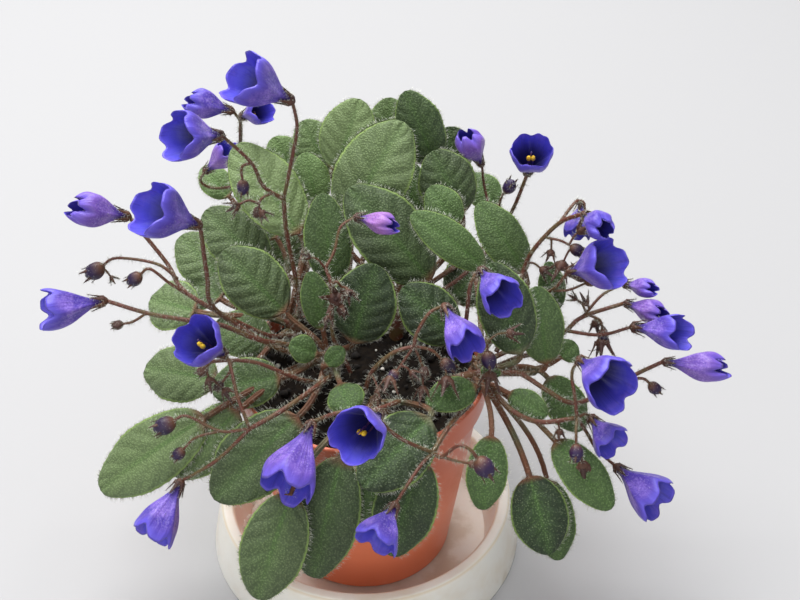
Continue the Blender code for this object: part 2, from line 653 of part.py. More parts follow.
def bell(name, base, mouth, radius, kind, group):
    """A bell: an outer and an inner skin of rings that meet at a rim of five lobes."""
    axis, up, side = bell_frame(base, mouth)
    length = np.linalg.norm(mouth - base)
    count = LOBES * POINTS_PER_LOBE
    angles = math.tau * np.arange(count) / count
    notch = (np.arange(count) % POINTS_PER_LOBE == 0).astype(float)
    lower = (1.0 - np.cos(angles)) / 2.0
    rim_share, rim_width = BELL_RIM[kind]
    rim_heights = length * (rim_share - NOTCH_BACK * notch + LOWER_LIP * (lower - 0.5))
    rim_radii = radius * rim_width * (1.0 - (1.0 - NOTCH_NARROW) * notch)
    skins = [(share * length, width * radius) for share, width in BELL_RINGS[kind]]
    throat_share, throat_width = BELL_THROAT[kind]
    throat = (throat_share * length, throat_width * radius - BELL_WALL)
    rings = [around(base, axis, up, side, angles, ring, height) for height, ring in skins]
    rings.append(around(base, axis, up, side, angles, rim_radii, rim_heights))
    rings.append(around(base, axis, up, side, angles, throat[1], throat[0]))
    points = np.vstack([*rings, base + BELL_START * axis])
    faces = [(len(points) - 1, (j + 1) % count, j) for j in range(count)]
    for ring in range(len(rings) - 1):
        for j in range(count):
            a, b = ring * count + j, ring * count + (j + 1) % count
            faces.append((a, b, b + count, a + count))
    last = (len(rings) - 1) * count
    faces.append(tuple(range(last, last + count)))
    return mesh_object(name, points, faces, group)


def calyx(name, base, axis, group, size):
    """A cup with five pointed sepals, as one thin closed skin."""
    up = unit(np.cross(axis, WINDOW))
    side = np.cross(axis, up)
    tips = math.tau * np.arange(LOBES) / LOBES
    valleys = tips - math.pi / LOBES
    rows = [
        (valleys, CUP_RADIUS, CUP_HEIGHT),
        (tips, CUP_RADIUS + SEPAL_THICK / 2, CUP_HEIGHT),
        (tips, CUP_RADIUS - SEPAL_THICK / 2, CUP_HEIGHT + SEPAL_THICK / 2),
        (tips, SEPAL_SPREAD, SEPAL_LENGTH),
    ]
    points = np.vstack([
        base - axis * CUP_FOOT * size,
        base + axis * CUP_FLOOR * size,
        *(around(base, axis, up, side, angles, across * size, along * size)
          for angles, across, along in rows),
    ])
    below, floor, valley, outside, inside, tip = 0, 1, 2, 7, 12, 17
    faces = []
    for j in range(LOBES):
        k = (j + 1) % LOBES
        faces += [
            (below, outside + j, valley + j), (below, valley + k, outside + j),
            (valley + j, outside + j, tip + j), (outside + j, valley + k, tip + j),
            (floor, valley + j, inside + j), (floor, inside + j, valley + k),
            (inside + j, valley + j, tip + j), (valley + k, inside + j, tip + j),
        ]
    return mesh_object(name, points, faces, group)


def bud(name, centre, axis, radius, group):
    """A closed bud: a pointed ball, longer than it is wide."""
    cage = bmesh.new()
    bmesh.ops.create_uvsphere(cage, u_segments=BUD_SIDES, v_segments=BUD_RINGS, radius=radius * MM)
    turn = Vector(axis).to_track_quat("Z", "Y").to_matrix()
    for vert in cage.verts:
        vert.co.z *= BUD_STRETCH
        vert.co = turn @ vert.co + Vector(centre * MM)
    mesh = bpy.data.meshes.new(name)
    cage.to_mesh(mesh)
    cage.free()
    thing = bpy.data.objects.new(name, mesh)
    group.objects.link(thing)
    return thing


def build_flower_stalk(number, stems, group, blooms):
    """The stems of one stalk with their calyces and buds in one solid, and its bells beside it."""
    name = f"flower_stalk_{number:02d}"
    pieces = []
    for index, (radius, points, ending) in enumerate(stems):
        stem_name = f"{name}_stem_{index + 1}"
        pieces.append(tube(stem_name, points, radius, group))
        if ending is None:
            continue
        kind, mouth, size = ending
        end = np.array(points[-1], dtype=float)
        if kind == BUD:
            axis = unit(end - np.array(points[-2], dtype=float))
            pieces.append(bud(stem_name + "_bud", end + axis * size * BUD_SHIFT, axis, size, group))
        else:
            mouth = np.array(mouth, dtype=float)
            calyx_size = 1.0 if size > SMALL_BELL else SMALL_CALYX
            pieces.append(calyx(stem_name + "_calyx", end, unit(mouth - end), group, calyx_size))
            blooms.append((end, mouth, size, kind))
    return finished(fused(name, pieces, group), "flower_stalk")


def main():
    clear_scene()
    group = new_collection("cape_primrose")
    cutters = new_collection("cutters")
    build_saucer(group)
    build_pot(group, cutters)
    build_soil(group, cutters)
    for name in STEMS:
        build_leafy_stem(name, group)
    blooms = []
    for number, stems in enumerate(STALKS, start=1):
        build_flower_stalk(number, stems, group, blooms)
    for number, (base, mouth, radius, kind) in enumerate(blooms, start=1):
        finished(bell(f"bloom_{number:02d}", base, mouth, radius, kind, group), "bloom")


main()
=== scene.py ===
"""Potted cape primrose: the looks of its leaves, stalks, bells, soil, pot and saucer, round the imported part."""

import json
import math

import bpy
import numpy as np
from bpy.props import FloatProperty, FloatVectorProperty, IntProperty, PointerProperty
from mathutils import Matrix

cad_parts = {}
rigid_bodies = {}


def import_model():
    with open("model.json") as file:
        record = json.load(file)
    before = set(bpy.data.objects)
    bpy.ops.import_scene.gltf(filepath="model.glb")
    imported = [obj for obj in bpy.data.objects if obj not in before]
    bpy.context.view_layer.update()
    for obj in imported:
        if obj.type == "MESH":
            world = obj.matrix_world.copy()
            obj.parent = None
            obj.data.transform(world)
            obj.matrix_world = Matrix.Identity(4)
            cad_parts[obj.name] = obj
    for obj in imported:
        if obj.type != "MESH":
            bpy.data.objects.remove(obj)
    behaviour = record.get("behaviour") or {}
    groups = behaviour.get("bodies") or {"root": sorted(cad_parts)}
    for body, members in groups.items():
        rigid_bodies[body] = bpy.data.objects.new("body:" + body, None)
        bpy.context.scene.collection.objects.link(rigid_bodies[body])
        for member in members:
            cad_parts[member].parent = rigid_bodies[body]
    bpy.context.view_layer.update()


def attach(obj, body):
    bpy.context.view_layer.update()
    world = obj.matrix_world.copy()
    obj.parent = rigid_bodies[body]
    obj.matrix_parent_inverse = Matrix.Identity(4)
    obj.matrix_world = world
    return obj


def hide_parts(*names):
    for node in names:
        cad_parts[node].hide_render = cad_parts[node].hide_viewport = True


bl_info = {
    "name": "Potted Cape Primrose",
    "version": (1, 0, 0),
    "blender": (4, 5, 0),
    "location": "3D View > Sidebar > Primrose",
    "description": "Builds a potted cape primrose in flower round its packed solids",
    "category": "Add Mesh",
}

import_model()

# Lengths are in millimetres, as in the part's source, and MM turns them into metres.
MM = 0.001
GAP = 0.3

# Pot and saucer.
RIM_RADIUS = 45.0
RIM_TOP = 85.0
BAND_HEIGHT = 11.0
BAND_STEP = 2.4
FOOT_RADIUS = 32.0
POT_WALL = 1.4
POT_FLOOR = 2.0
DRAIN_HOLES = 5
DRAIN_RADIUS = 3.5
DRAIN_CIRCLE = 18.0
DISH_FOOT = 47.0
DISH_RADIUS = 51.0
LIP_TOP = 22.0
LIP_RADIUS = 56.0
SKIRT_RADIUS = 60.0
LIP_ROUND = 1.0
LIP_THICK = 2.0
SAUCER_WALL = 1.5
DISH_FLOOR = 1.5
SOIL_TOP = 78.0
SOIL_CROWN = 1.5
HOLE_DEPTH = 14.0

# Leafy stems: where each leaves the soil, and its growing point.
STEM_RADIUS = 3.0
COLLAR_HEIGHT = 3.0
STEM_TAPER = 0.8
LEAFED_PART = 0.6
STEMS = {
    "centre": ((-11, 3), (-13, 0, 91)),
    "right": ((29, -8), (43, -14, 93)),
    "back": ((12, 24), (14, 26, 92)),
    "left": ((-25, 17), (-28, 20, 91)),
    "front": ((4, -20), (5, -25, 90)),
    "rear": ((-6, 33), (-8, 38, 90)),
}

# The two sides that blades turn their faces to.
WINDOW = (0.0, -0.62, 0.78)
BEHIND = (0.0, 0.62, 0.78)

# Leaves: stem, neck where the blade starts, tip, blade width, and the side it faces.
LEAVES = [
    ("back", (-10, 52, 134), (-1, 60, 160), 21, WINDOW),
    ("back", (8, 66, 131), (10, 74, 153), 18, WINDOW),
    ("back", (-7, 38, 120), (15, 52, 155), 28, WINDOW),
    ("back", (26, 60, 133), (15, 66, 160), 18, WINDOW),
    ("back", (34, 76, 119), (32, 82, 136), 20, WINDOW),
    ("back", (36, 44, 121), (25, 52, 143), 22, WINDOW),
    ("right", (34, 34, 122), (24, 42, 134), 14, WINDOW),
    ("right", (43, 16, 117), (17, 20, 137), 14, WINDOW),
    ("back", (24, 20, 108), (-5, 32, 140), 26, WINDOW),
    ("centre", (-28, 8, 103), (-49, 16, 124), 22, WINDOW),
    ("centre", (-14, 2, 100), (-18, 8, 121), 11, WINDOW),
    ("centre", (-3, -4, 99), (5, 4, 127), 23, WINDOW),
    ("right", (33, 0, 97), (14, 8, 114), 20, WINDOW),
    ("centre", (-16, -8, 97), (-25, -10, 103), 10, WINDOW),
    ("centre", (-12, -14, 97), (-6, -12, 103), 7, WINDOW),
    ("centre", (-7, -22, 95), (-3, -32, 91), 13, WINDOW),
    ("left", (-36, 28, 108), (-58, 40, 125), 21, WINDOW),
    ("left", (-23, 30, 122), (-46, 46, 149), 23, WINDOW),
    ("left", (-33, 44, 110), (-46, 56, 121), 14, WINDOW),
    ("left", (-17, 46, 123), (-22, 56, 140), 14, WINDOW),
    ("left", (-11, 18, 108), (-14, 30, 139), 17, WINDOW),
    ("left", (-25, 66, 122), (-35, 72, 137), 16, WINDOW),
    ("left", (-53, 68, 113), (-64, 76, 121), 12, WINDOW),
    ("left", (-61, 16, 97), (-80, 28, 93), 20, WINDOW),
    ("left", (-53, 26, 95), (-66, 40, 95), 20, WINDOW),
    ("left", (-51, -12, 88), (-79, 2, 82), 21, WINDOW),
    ("centre", (-28, -17, 94), (-52, -18, 89), 18, WINDOW),
    ("centre", (-43, -24, 86), (-59, -26, 68), 15, WINDOW),
    ("centre", (-53, -30, 87), (-91, -38, 60), 23, WINDOW),
    ("centre", (-42, -28, 88), (-64, -40, 69), 19, WINDOW),
    ("centre", (-21, -34, 91), (-49, -52, 70), 25, WINDOW),
    ("front", (-22, -60, 81), (-34, -76, 48), 22, WINDOW),
    ("front", (-6, -50, 88), (-16, -66, 47), 22, WINDOW),
    ("front", (23, -38, 94), (1, -58, 82), 23, WINDOW),
    ("front", (8, -50, 86), (2, -58, 60), 16, WINDOW),
    ("front", (20, -50, 87), (10, -66, 58), 21, WINDOW),
    ("right", (44, -38, 86), (41, -52, 65), 14, WINDOW),
    ("right", (58, -38, 67), (65, -54, 45), 20, WINDOW),
    ("right", (66, -26, 53), (71, -40, 26), 16, WINDOW),
    ("right", (67, -30, 76), (86, -46, 59), 15, WINDOW),
    ("right", (39, -22, 94), (22, -32, 95), 12, WINDOW),
    ("right", (51, -20, 89), (64, -26, 84), 10, WINDOW),
    ("right", (44, -18, 94), (45, -16, 99), 7, WINDOW),
    ("right", (55, -10, 99), (44, 2, 129), 20, WINDOW),
    ("right", (65, -6, 91), (60, 2, 119), 16, WINDOW),
    ("right", (58, 20, 112), (41, 30, 135), 16, WINDOW),
    ("back", (51, 64, 111), (40, 72, 120), 14, WINDOW),
    ("right", (69, 12, 100), (66, 18, 118), 10, WINDOW),
    ("right", (71, 2, 87), (77, 6, 90), 10, WINDOW),
    ("back", (17, 50, 112), (18, 62, 132), 13, WINDOW),
    ("left", (-51, 34, 95), (-70, 48, 108), 20, WINDOW),
    ("rear", (-32, 52, 88), (-34, 64, 108), 20, WINDOW),
    ("left", (-34, 7, 89), (-54, 14, 93), 18, WINDOW),
    ("right", (66, -6, 84), (79, -14, 66), 15, WINDOW),
    ("rear", (-13, 66, 125), (-24, 74, 143), 18, WINDOW),
    ("rear", (-20, 66, 92), (-34, 90, 70), 21, BEHIND),
    ("rear", (6, 72, 94), (8, 98, 66), 22, BEHIND),
    ("rear", (30, 62, 92), (46, 84, 68), 21, BEHIND),
    ("rear", (-44, 52, 88), (-68, 64, 66), 20, BEHIND),
    ("back", (32, 34, 89), (52, 48, 100), 22, WINDOW),
    ("rear", (-6, 56, 106), (-12, 84, 100), 22, BEHIND),
    ("back", (22, 56, 108), (34, 80, 98), 21, BEHIND),
]

# Shape of a leaf: its arch, its fold along the midrib, its curled margins and its thickness.
ARCH = math.radians(16)
PETIOLE_RADIUS = 1.1
MIDRIB_FOLD = 0.22
MARGIN_CURL = 0.30
BLADE_THICK = 0.9
GROOVE = 0.35
RIB_DEPTH = 1.3
SMALL_LEAF = 16.0

# A petiole leaves its stem turned upward: most where its neck is well above its root.
RISE_LEAST = 0.36
RISE_LEVEL = 0.4
RISE_MOST = 0.8
RISE_PER_MM = 0.04

# Flower stalks: the stems of each, with radius, points along it, and what it ends in.
# The first stem of a stalk starts beside a leafy stem, and the others branch from it.
OPEN, FOLDED, BUD = "open", "folded", "bud"
STALKS = [
    [
        (1.1, [(-23, 16, 94), (-23, 12, 110), (-25, 6, 138), (-25, 3, 154)], None),
        (0.8, [(-25, 3, 154), (-21, 1, 172), (-19, 0, 183), (-20, 0, 192)], (OPEN, (-36, -5, 204), 8)),
        (0.8, [(-25, 3, 154), (-31, 0, 161), (-34, -2, 171), (-42, -4, 182)],
         (OPEN, (-56, -14, 188), 7.5)),
        (0.6, [(-34, -2, 171), (-37, -3, 170), (-37, -4, 165)], (BUD, None, 2.0)),
        (0.6, [(-28, 1, 158), (-32, 0, 156), (-33, -1, 153)], (BUD, None, 1.5)),
    ],
    [
        (1.0, [(-34, 24, 92), (-42, 36, 98), (-47, 52, 108), (-46, 62, 122), (-46, 61, 140)], None),
        (0.8, [(-46, 61, 140), (-45, 60, 150), (-47, 58, 156)], (FOLDED, (-63, 56, 162), 5.5)),
        (0.7, [(-46, 61, 140), (-45, 57, 149), (-44, 54, 156)], (OPEN, (-34, 47, 163), 5)),
        (0.7, [(-46, 62, 122), (-58, 66, 118), (-63, 66, 121), (-61, 65, 126)],
         (OPEN, (-49, 64, 137), 5)),
    ],
    [
        (1.1, [(-25, 13, 88), (-30, 5, 94), (-36, 0, 100), (-53, -4, 115), (-62, 0, 120), (-67, 6, 126),
               (-79, 12, 141)], (FOLDED, (-96, 5, 150), 6)),
        (0.7, [(-59, -2, 118), (-65, -3, 124), (-71, -3, 130), (-75, -3, 127)], (BUD, None, 2.4)),
        (0.7, [(-63, 2, 122), (-70, 4, 127), (-84, 6, 128), (-90, 6, 124)], (BUD, None, 3.0)),
    ],
    [
        (1.1, [(-20, -4, 92), (-32, -10, 103), (-49, -12, 120), (-51, -8, 131), (-52, -5, 149)],
         (OPEN, (-68, -12, 161), 9)),
    ],
    [
        (1.1, [(-17, -3, 95), (-26, -9, 102), (-35, -16, 110), (-47, -18, 118), (-60, -14, 117),
               (-73, -8, 115), (-87, -5, 118)], (OPEN, (-108, -12, 119), 7)),
        (0.6, [(-73, -8, 115), (-78, -9, 112), (-82, -9, 111)], (BUD, None, 1.6)),
    ],
    [
        (1.2, [(-10, -10, 89), (-12, -18, 94), (-17, -29, 98), (-26, -40, 99), (-36, -44, 95)], None),
        (0.8, [(-36, -44, 95), (-40, -38, 104), (-43, -28, 109), (-45, -24, 110)],
         (OPEN, (-54, -32, 124), 8.5)),
        (0.7, [(-36, -44, 95), (-46, -43, 93), (-57, -40, 97), (-62, -41, 95)], (BUD, None, 3.0)),
        (0.6, [(-46, -43, 93), (-54, -44, 91), (-59, -45, 86)], (BUD, None, 2.0)),
        (0.8, [(-36, -44, 95), (-46, -47, 85), (-54, -48, 79), (-60, -48, 75)],
         (OPEN, (-70, -62, 61), 7)),
    ],
    [
        (0.9, [(-16, -13, 88), (-22, -20, 96), (-36, -22, 105), (-49, -24, 107), (-52, -24, 104)],
         (BUD, None, 1.8)),
        (0.6, [(-43, -24, 107), (-44, -25, 103), (-47, -26, 99)], (BUD, None, 1.6)),
    ],
    [
        (1.0, [(9, -29, 91), (13, -35, 99), (4, -44, 103), (-6, -47, 105), (-15, -46, 100)],
         (OPEN, (-24, -67, 88), 9)),
    ],
    [
        (1.2, [(38, -20, 87), (33, -30, 88), (29, -40, 91), (24, -50, 90)], None),
        (0.8, [(24, -50, 90), (15, -53, 98), (9, -54, 105), (7, -54, 111)], (OPEN, (-1, -71, 116), 8.5)),
        (0.8, [(24, -50, 90), (27, -51, 89), (32, -53, 96), (36, -54, 95), (39, -55, 91)],
         (BUD, None, 3.2)),
        (0.6, [(27, -51, 89), (32, -52, 88), (36, -52, 87)], (BUD, None, 1.3)),
        (0.8, [(24, -50, 90), (20, -55, 89), (16, -62, 88), (12, -67, 84)], (OPEN, (5, -79, 77), 7)),
    ],
    [
        (0.9, [(-4, -9, 89), (-7, -7, 96), (-10, -6, 103), (-10, -6, 114), (-10, -4, 124),
               (-12, 0, 128)], None),
        (0.7, [(-12, 0, 128), (-9, 5, 132), (-7, 10, 138), (-2, 12, 141)], (FOLDED, (12, 5, 142), 4)),
        (0.6, [(-10, -4, 124), (-8, -5, 126), (-6, -5, 123)], (BUD, None, 1.8)),
        (0.6, [(-10, -5, 118), (-8, -6, 119), (-7, -6, 116)], (BUD, None, 1.8)),
    ],
    [
        (1.0, [(1, -21, 90), (4, -22, 101), (11, -22, 109), (18, -22, 112)], None),
        (0.8, [(18, -22, 112), (19, -20, 116), (23, -17, 122), (28, -14, 123)],
         (OPEN, (36, -31, 117), 6.5)),
        (0.6, [(18, -22, 112), (15, -24, 108), (12, -26, 104)], (BUD, None, 2.0)),
        (0.6, [(18, -22, 112), (20, -23, 107), (21, -24, 104)], (BUD, None, 1.8)),
        (0.7, [(18, -22, 112), (24, -22, 110), (28, -23, 106)], (BUD, None, 2.4)),
    ],
    [
        (1.0, [(39, -12, 97), (35, -12, 102), (36, -10, 116), (37, -8, 127), (40, -6, 132)],
         (OPEN, (48, -23, 131), 7)),
        (0.6, [(36, -12, 104), (42, -17, 110), (43, -19, 106)], (BUD, None, 2.6)),
    ],
    [
        (1.1, [(47, -6, 96), (52, 0, 104), (55, 7, 111), (57, 13, 118), (60, 14, 126), (68, 14, 137),
               (75, 8, 145)], (FOLDED, (81, -5, 147), 5)),
        (0.7, [(68, 14, 137), (74, 21, 141), (77, 26, 138)], (OPEN, (75, 17, 129), 5)),
        (0.8, [(55, 7, 111), (66, 6, 114), (71, 2, 125)], (OPEN, (85, -6, 135), 8.5)),
        (0.6, [(64, 14, 131), (69, 12, 131), (73, 11, 129)], (BUD, None, 2.2)),
        (0.6, [(66, 6, 114), (72, 5, 115), (78, 4, 119)], (BUD, None, 1.8)),
    ],
    [
        (1.1, [(48, -4, 88), (56, 2, 87), (64, 2, 90), (72, 1, 100), (78, 4, 104), (93, 8, 107)],
         (FOLDED, (105, -3, 110), 4.5)),
        (0.7, [(78, 4, 104), (85, 10, 109), (93, 14, 111)], (FOLDED, (102, 4, 116), 3.5)),
        (0.8, [(72, 1, 100), (83, -5, 103), (93, -8, 109)], (OPEN, (109, -19, 115), 6)),
        (0.6, [(80, 5, 104), (84, 3, 103), (85, 2, 99)], (BUD, None, 2.0)),
    ],
    [
        (1.1, [(49, -15, 94), (55, -14, 93), (64, -18, 89), (72, -20, 85), (80, -16, 83), (96, -10, 89),
               (105, -10, 95)], (FOLDED, (126, -16, 97), 5.5)),
        (0.7, [(95, -11, 88), (99, -11, 88), (102, -11, 85)], (BUD, None, 2.2)),
    ],
    [
        (1.2, [(46, -21, 90), (52, -28, 88), (61, -30, 85), (74, -28, 85)], None),
        (0.8, [(74, -28, 85), (73, -24, 92), (72, -20, 98), (74, -18, 103)],
         (OPEN, (85, -36, 105), 9.5)),
        (0.7, [(74, -28, 85), (77, -26, 85), (79, -24, 82)], (OPEN, (87, -35, 78), 6.5)),
        (0.8, [(74, -28, 85), (78, -28, 78), (82, -29, 71), (89, -30, 64)], (OPEN, (104, -44, 59), 8)),
        (0.7, [(74, -28, 85), (73, -34, 85), (73, -38, 81)], (BUD, None, 2.4)),
    ],
    [
        (1.0, [(22, 28, 93), (35, 34, 98), (48, 44, 107), (55, 43, 124), (59, 40, 141)],
         (OPEN, (59, 31, 157), 7.5)),
        (0.6, [(50, 43, 112), (50, 42, 128), (52, 41, 133)], (BUD, None, 2.4)),
        (0.7, [(48, 44, 107), (47, 54, 116), (45, 60, 124), (44, 60, 132)],
         (FOLDED, (37, 58, 147), 5.5)),
    ],
    [
        (1.1, [(-2, 43, 96), (2, 54, 105), (6, 68, 111), (8, 80, 112)], None),
        (0.8, [(8, 80, 112), (4, 82, 118), (-1, 84, 122)], (OPEN, (-5, 102, 118), 8)),
        (0.8, [(8, 80, 112), (15, 82, 117), (20, 84, 120)], (OPEN, (27, 101, 116), 8)),
        (0.7, [(8, 80, 112), (10, 86, 112), (11, 90, 108)], (FOLDED, (12, 103, 98), 5)),
    ],
]

# Shape of a bell: rings from base to rim, as (share of its length, share of the mouth radius).
BELL_START = 1.6
BELL_RINGS = {OPEN: ((0.37, 0.41), (0.66, 0.84)), FOLDED: ((0.32, 0.42), (0.66, 0.95))}
BELL_RIM = {OPEN: (0.97, 1.0), FOLDED: (1.0, 0.55)}
LOBES = 5
NOTCH_BACK = 0.13
NOTCH_NARROW = 0.88
LOWER_LIP = 0.12

# Bud: a pointed ball at the end of its stem.
BUD_STRETCH = 1.35
BUD_SHIFT = 0.9

# Calyx: a small cup with five pointed sepals.
CUP_FOOT = 0.8
CUP_RADIUS = 1.9
CUP_HEIGHT = 1.6
SEPAL_LENGTH = 6.0
SEPAL_SPREAD = 3.3
SMALL_BELL = 5.5
SMALL_CALYX = 0.8

# Fineness of the visible skins.
PETIOLE_RINGS = 12
BLADE_RINGS = 40
BLADE_COLUMNS = 22
STEM_SIDES = 10
PATH_STEPS = 6
BELL_RINGS_ALONG = 22
BELL_COLUMNS = 60
TURN_COLUMNS = 128
VEIN_PAIRS = 6.0

# Rims of the bells: how sharp each notch is, and the share of the solids' narrowing that it keeps.
NOTCH_SHARP = 5.0
NOTCH_SHARE = 0.35

# Bells whose anthers show in the mouth, and bells that are paler and pinker than the rest.
ANTHERS_SHOW = (9, 12, 27)
ANTHER_DEPTH = 0.66
HIDDEN_ANTHER_DEPTH = 0.42
PALE_BELLS = {14: 1.0, 15: 0.10, 6: 0.30, 28: 0.35, 5: 0.45, 23: 0.30, 20: 0.40, 21: 0.25, 11: 0.15}

# Flower stalks are drawn a little slimmer than the solids, whose hairs they lack.
STALK_SLIM = 0.82

# Withered flowers that only the scene shows: stalk, place and size.
WITHERED = [
    (10, (-8, -9, 122), 2.6), (10, (-4, -9, 125), 1.6), (10, (-17, -2, 134), 1.2),
    (10, (-11, -9, 114), 1.6), (11, (10, -28, 103), 2.3), (11, (6, -28, 98), 1.8),
    (11, (21, -27, 98), 2.0), (11, (29, -27, 102), 2.6), (11, (17, -26, 104), 1.5),
    (12, (44, -21, 99), 2.4), (12, (50, -14, 111), 1.8), (13, (70, 10, 123), 2.4),
    (13, (77, 5, 120), 2.4), (13, (75, 13, 134), 2.0), (13, (66, 13, 126), 1.5),
    (13, (63, 12, 119), 1.8), (13, (79, 5, 127), 1.6), (14, (83, 5, 101), 1.8), (14, (85, 1, 96), 2.6),
    (14, (79, 6, 108), 1.6), (14, (75, 5, 111), 1.2), (16, (76, -37, 72), 2.6), (16, (68, -30, 81), 1.4),
    (7, (-46, -27, 97), 1.8), (7, (-51, -26, 101), 1.8), (1, (-39, -5, 157), 1.6),
    (1, (-32, -3, 153), 1.4), (3, (-87, 6, 120), 1.0),
]


def unit(vector):
    """A vector, or rows of vectors, made one long."""
    return vector / np.linalg.norm(vector, axis=-1, keepdims=True)


def smooth(low, high, value):
    """Zero below low, one above high, with the cubic 3 t squared less 2 t cubed between."""
    share = np.clip((value - low) / (high - low), 0.0, 1.0)
    return share * share * (3.0 - 2.0 * share)


def hermite(start, end, leave, arrive, share):
    """Points on the cubic from start to end with the given end directions."""
    t = np.asarray(share)[:, None]
    return ((2 * t**3 - 3 * t**2 + 1) * start + (t**3 - 2 * t**2 + t) * leave
            + (3 * t**2 - 2 * t**3) * end + (t**3 - t**2) * arrive)


def path_through(points, steps):
    """A smooth path through the points: on each span, the cubic whose end directions join its neighbours."""
    points = np.asarray(points, dtype=float)
    slopes = np.gradient(points, axis=0)
    t = np.linspace(0.0, 1.0, steps, endpoint=False)[None, :, None]
    start, end = points[:-1, None], points[1:, None]
    leave, arrive = slopes[:-1, None], slopes[1:, None]
    spans = ((2 * t**3 - 3 * t**2 + 1) * start + (t**3 - 2 * t**2 + t) * leave
             + (3 * t**2 - 2 * t**3) * end + (t**3 - t**2) * arrive)
    return np.vstack([spans.reshape(-1, 3), points[-1]])


def path_frames(line):
    """Direction and two cross directions along a path, turned about the normal of its best plane."""
    along = unit(np.gradient(line, axis=0))
    flat = np.linalg.svd(line - line.mean(axis=0))[2][2]
    first = unit(np.cross(along, flat))
    return along, first, np.cross(first, along)


def ring_faces(rings, columns, along, across):
    """Quads between closed rings, with along and across as their two texture coordinates."""
    i, j = np.meshgrid(np.arange(rings - 1), np.arange(columns), indexing="ij")
    k = (j + 1) % columns
    faces = np.stack([i * columns + j, i * columns + k, (i + 1) * columns + k, (i + 1) * columns + j], -1)
    u = np.stack([along[i], along[i], along[i + 1], along[i + 1]], -1)
    v = np.stack([across[j], across[j + 1], across[j + 1], across[j]], -1)
    return faces.reshape(-1, 4), np.stack([u, v], -1).reshape(-1, 4, 2)


def fan_faces(first, columns, pole, u, across):
    """Triangles from a closed ring to a pole."""
    j = np.arange(columns)
    faces = np.stack([first + j, first + (j + 1) % columns, np.full(columns, pole)], -1)
    v = np.stack([across[j], across[j + 1], (across[j] + across[j + 1]) / 2], -1)
    return faces, np.stack([np.full_like(v, u), v], -1)


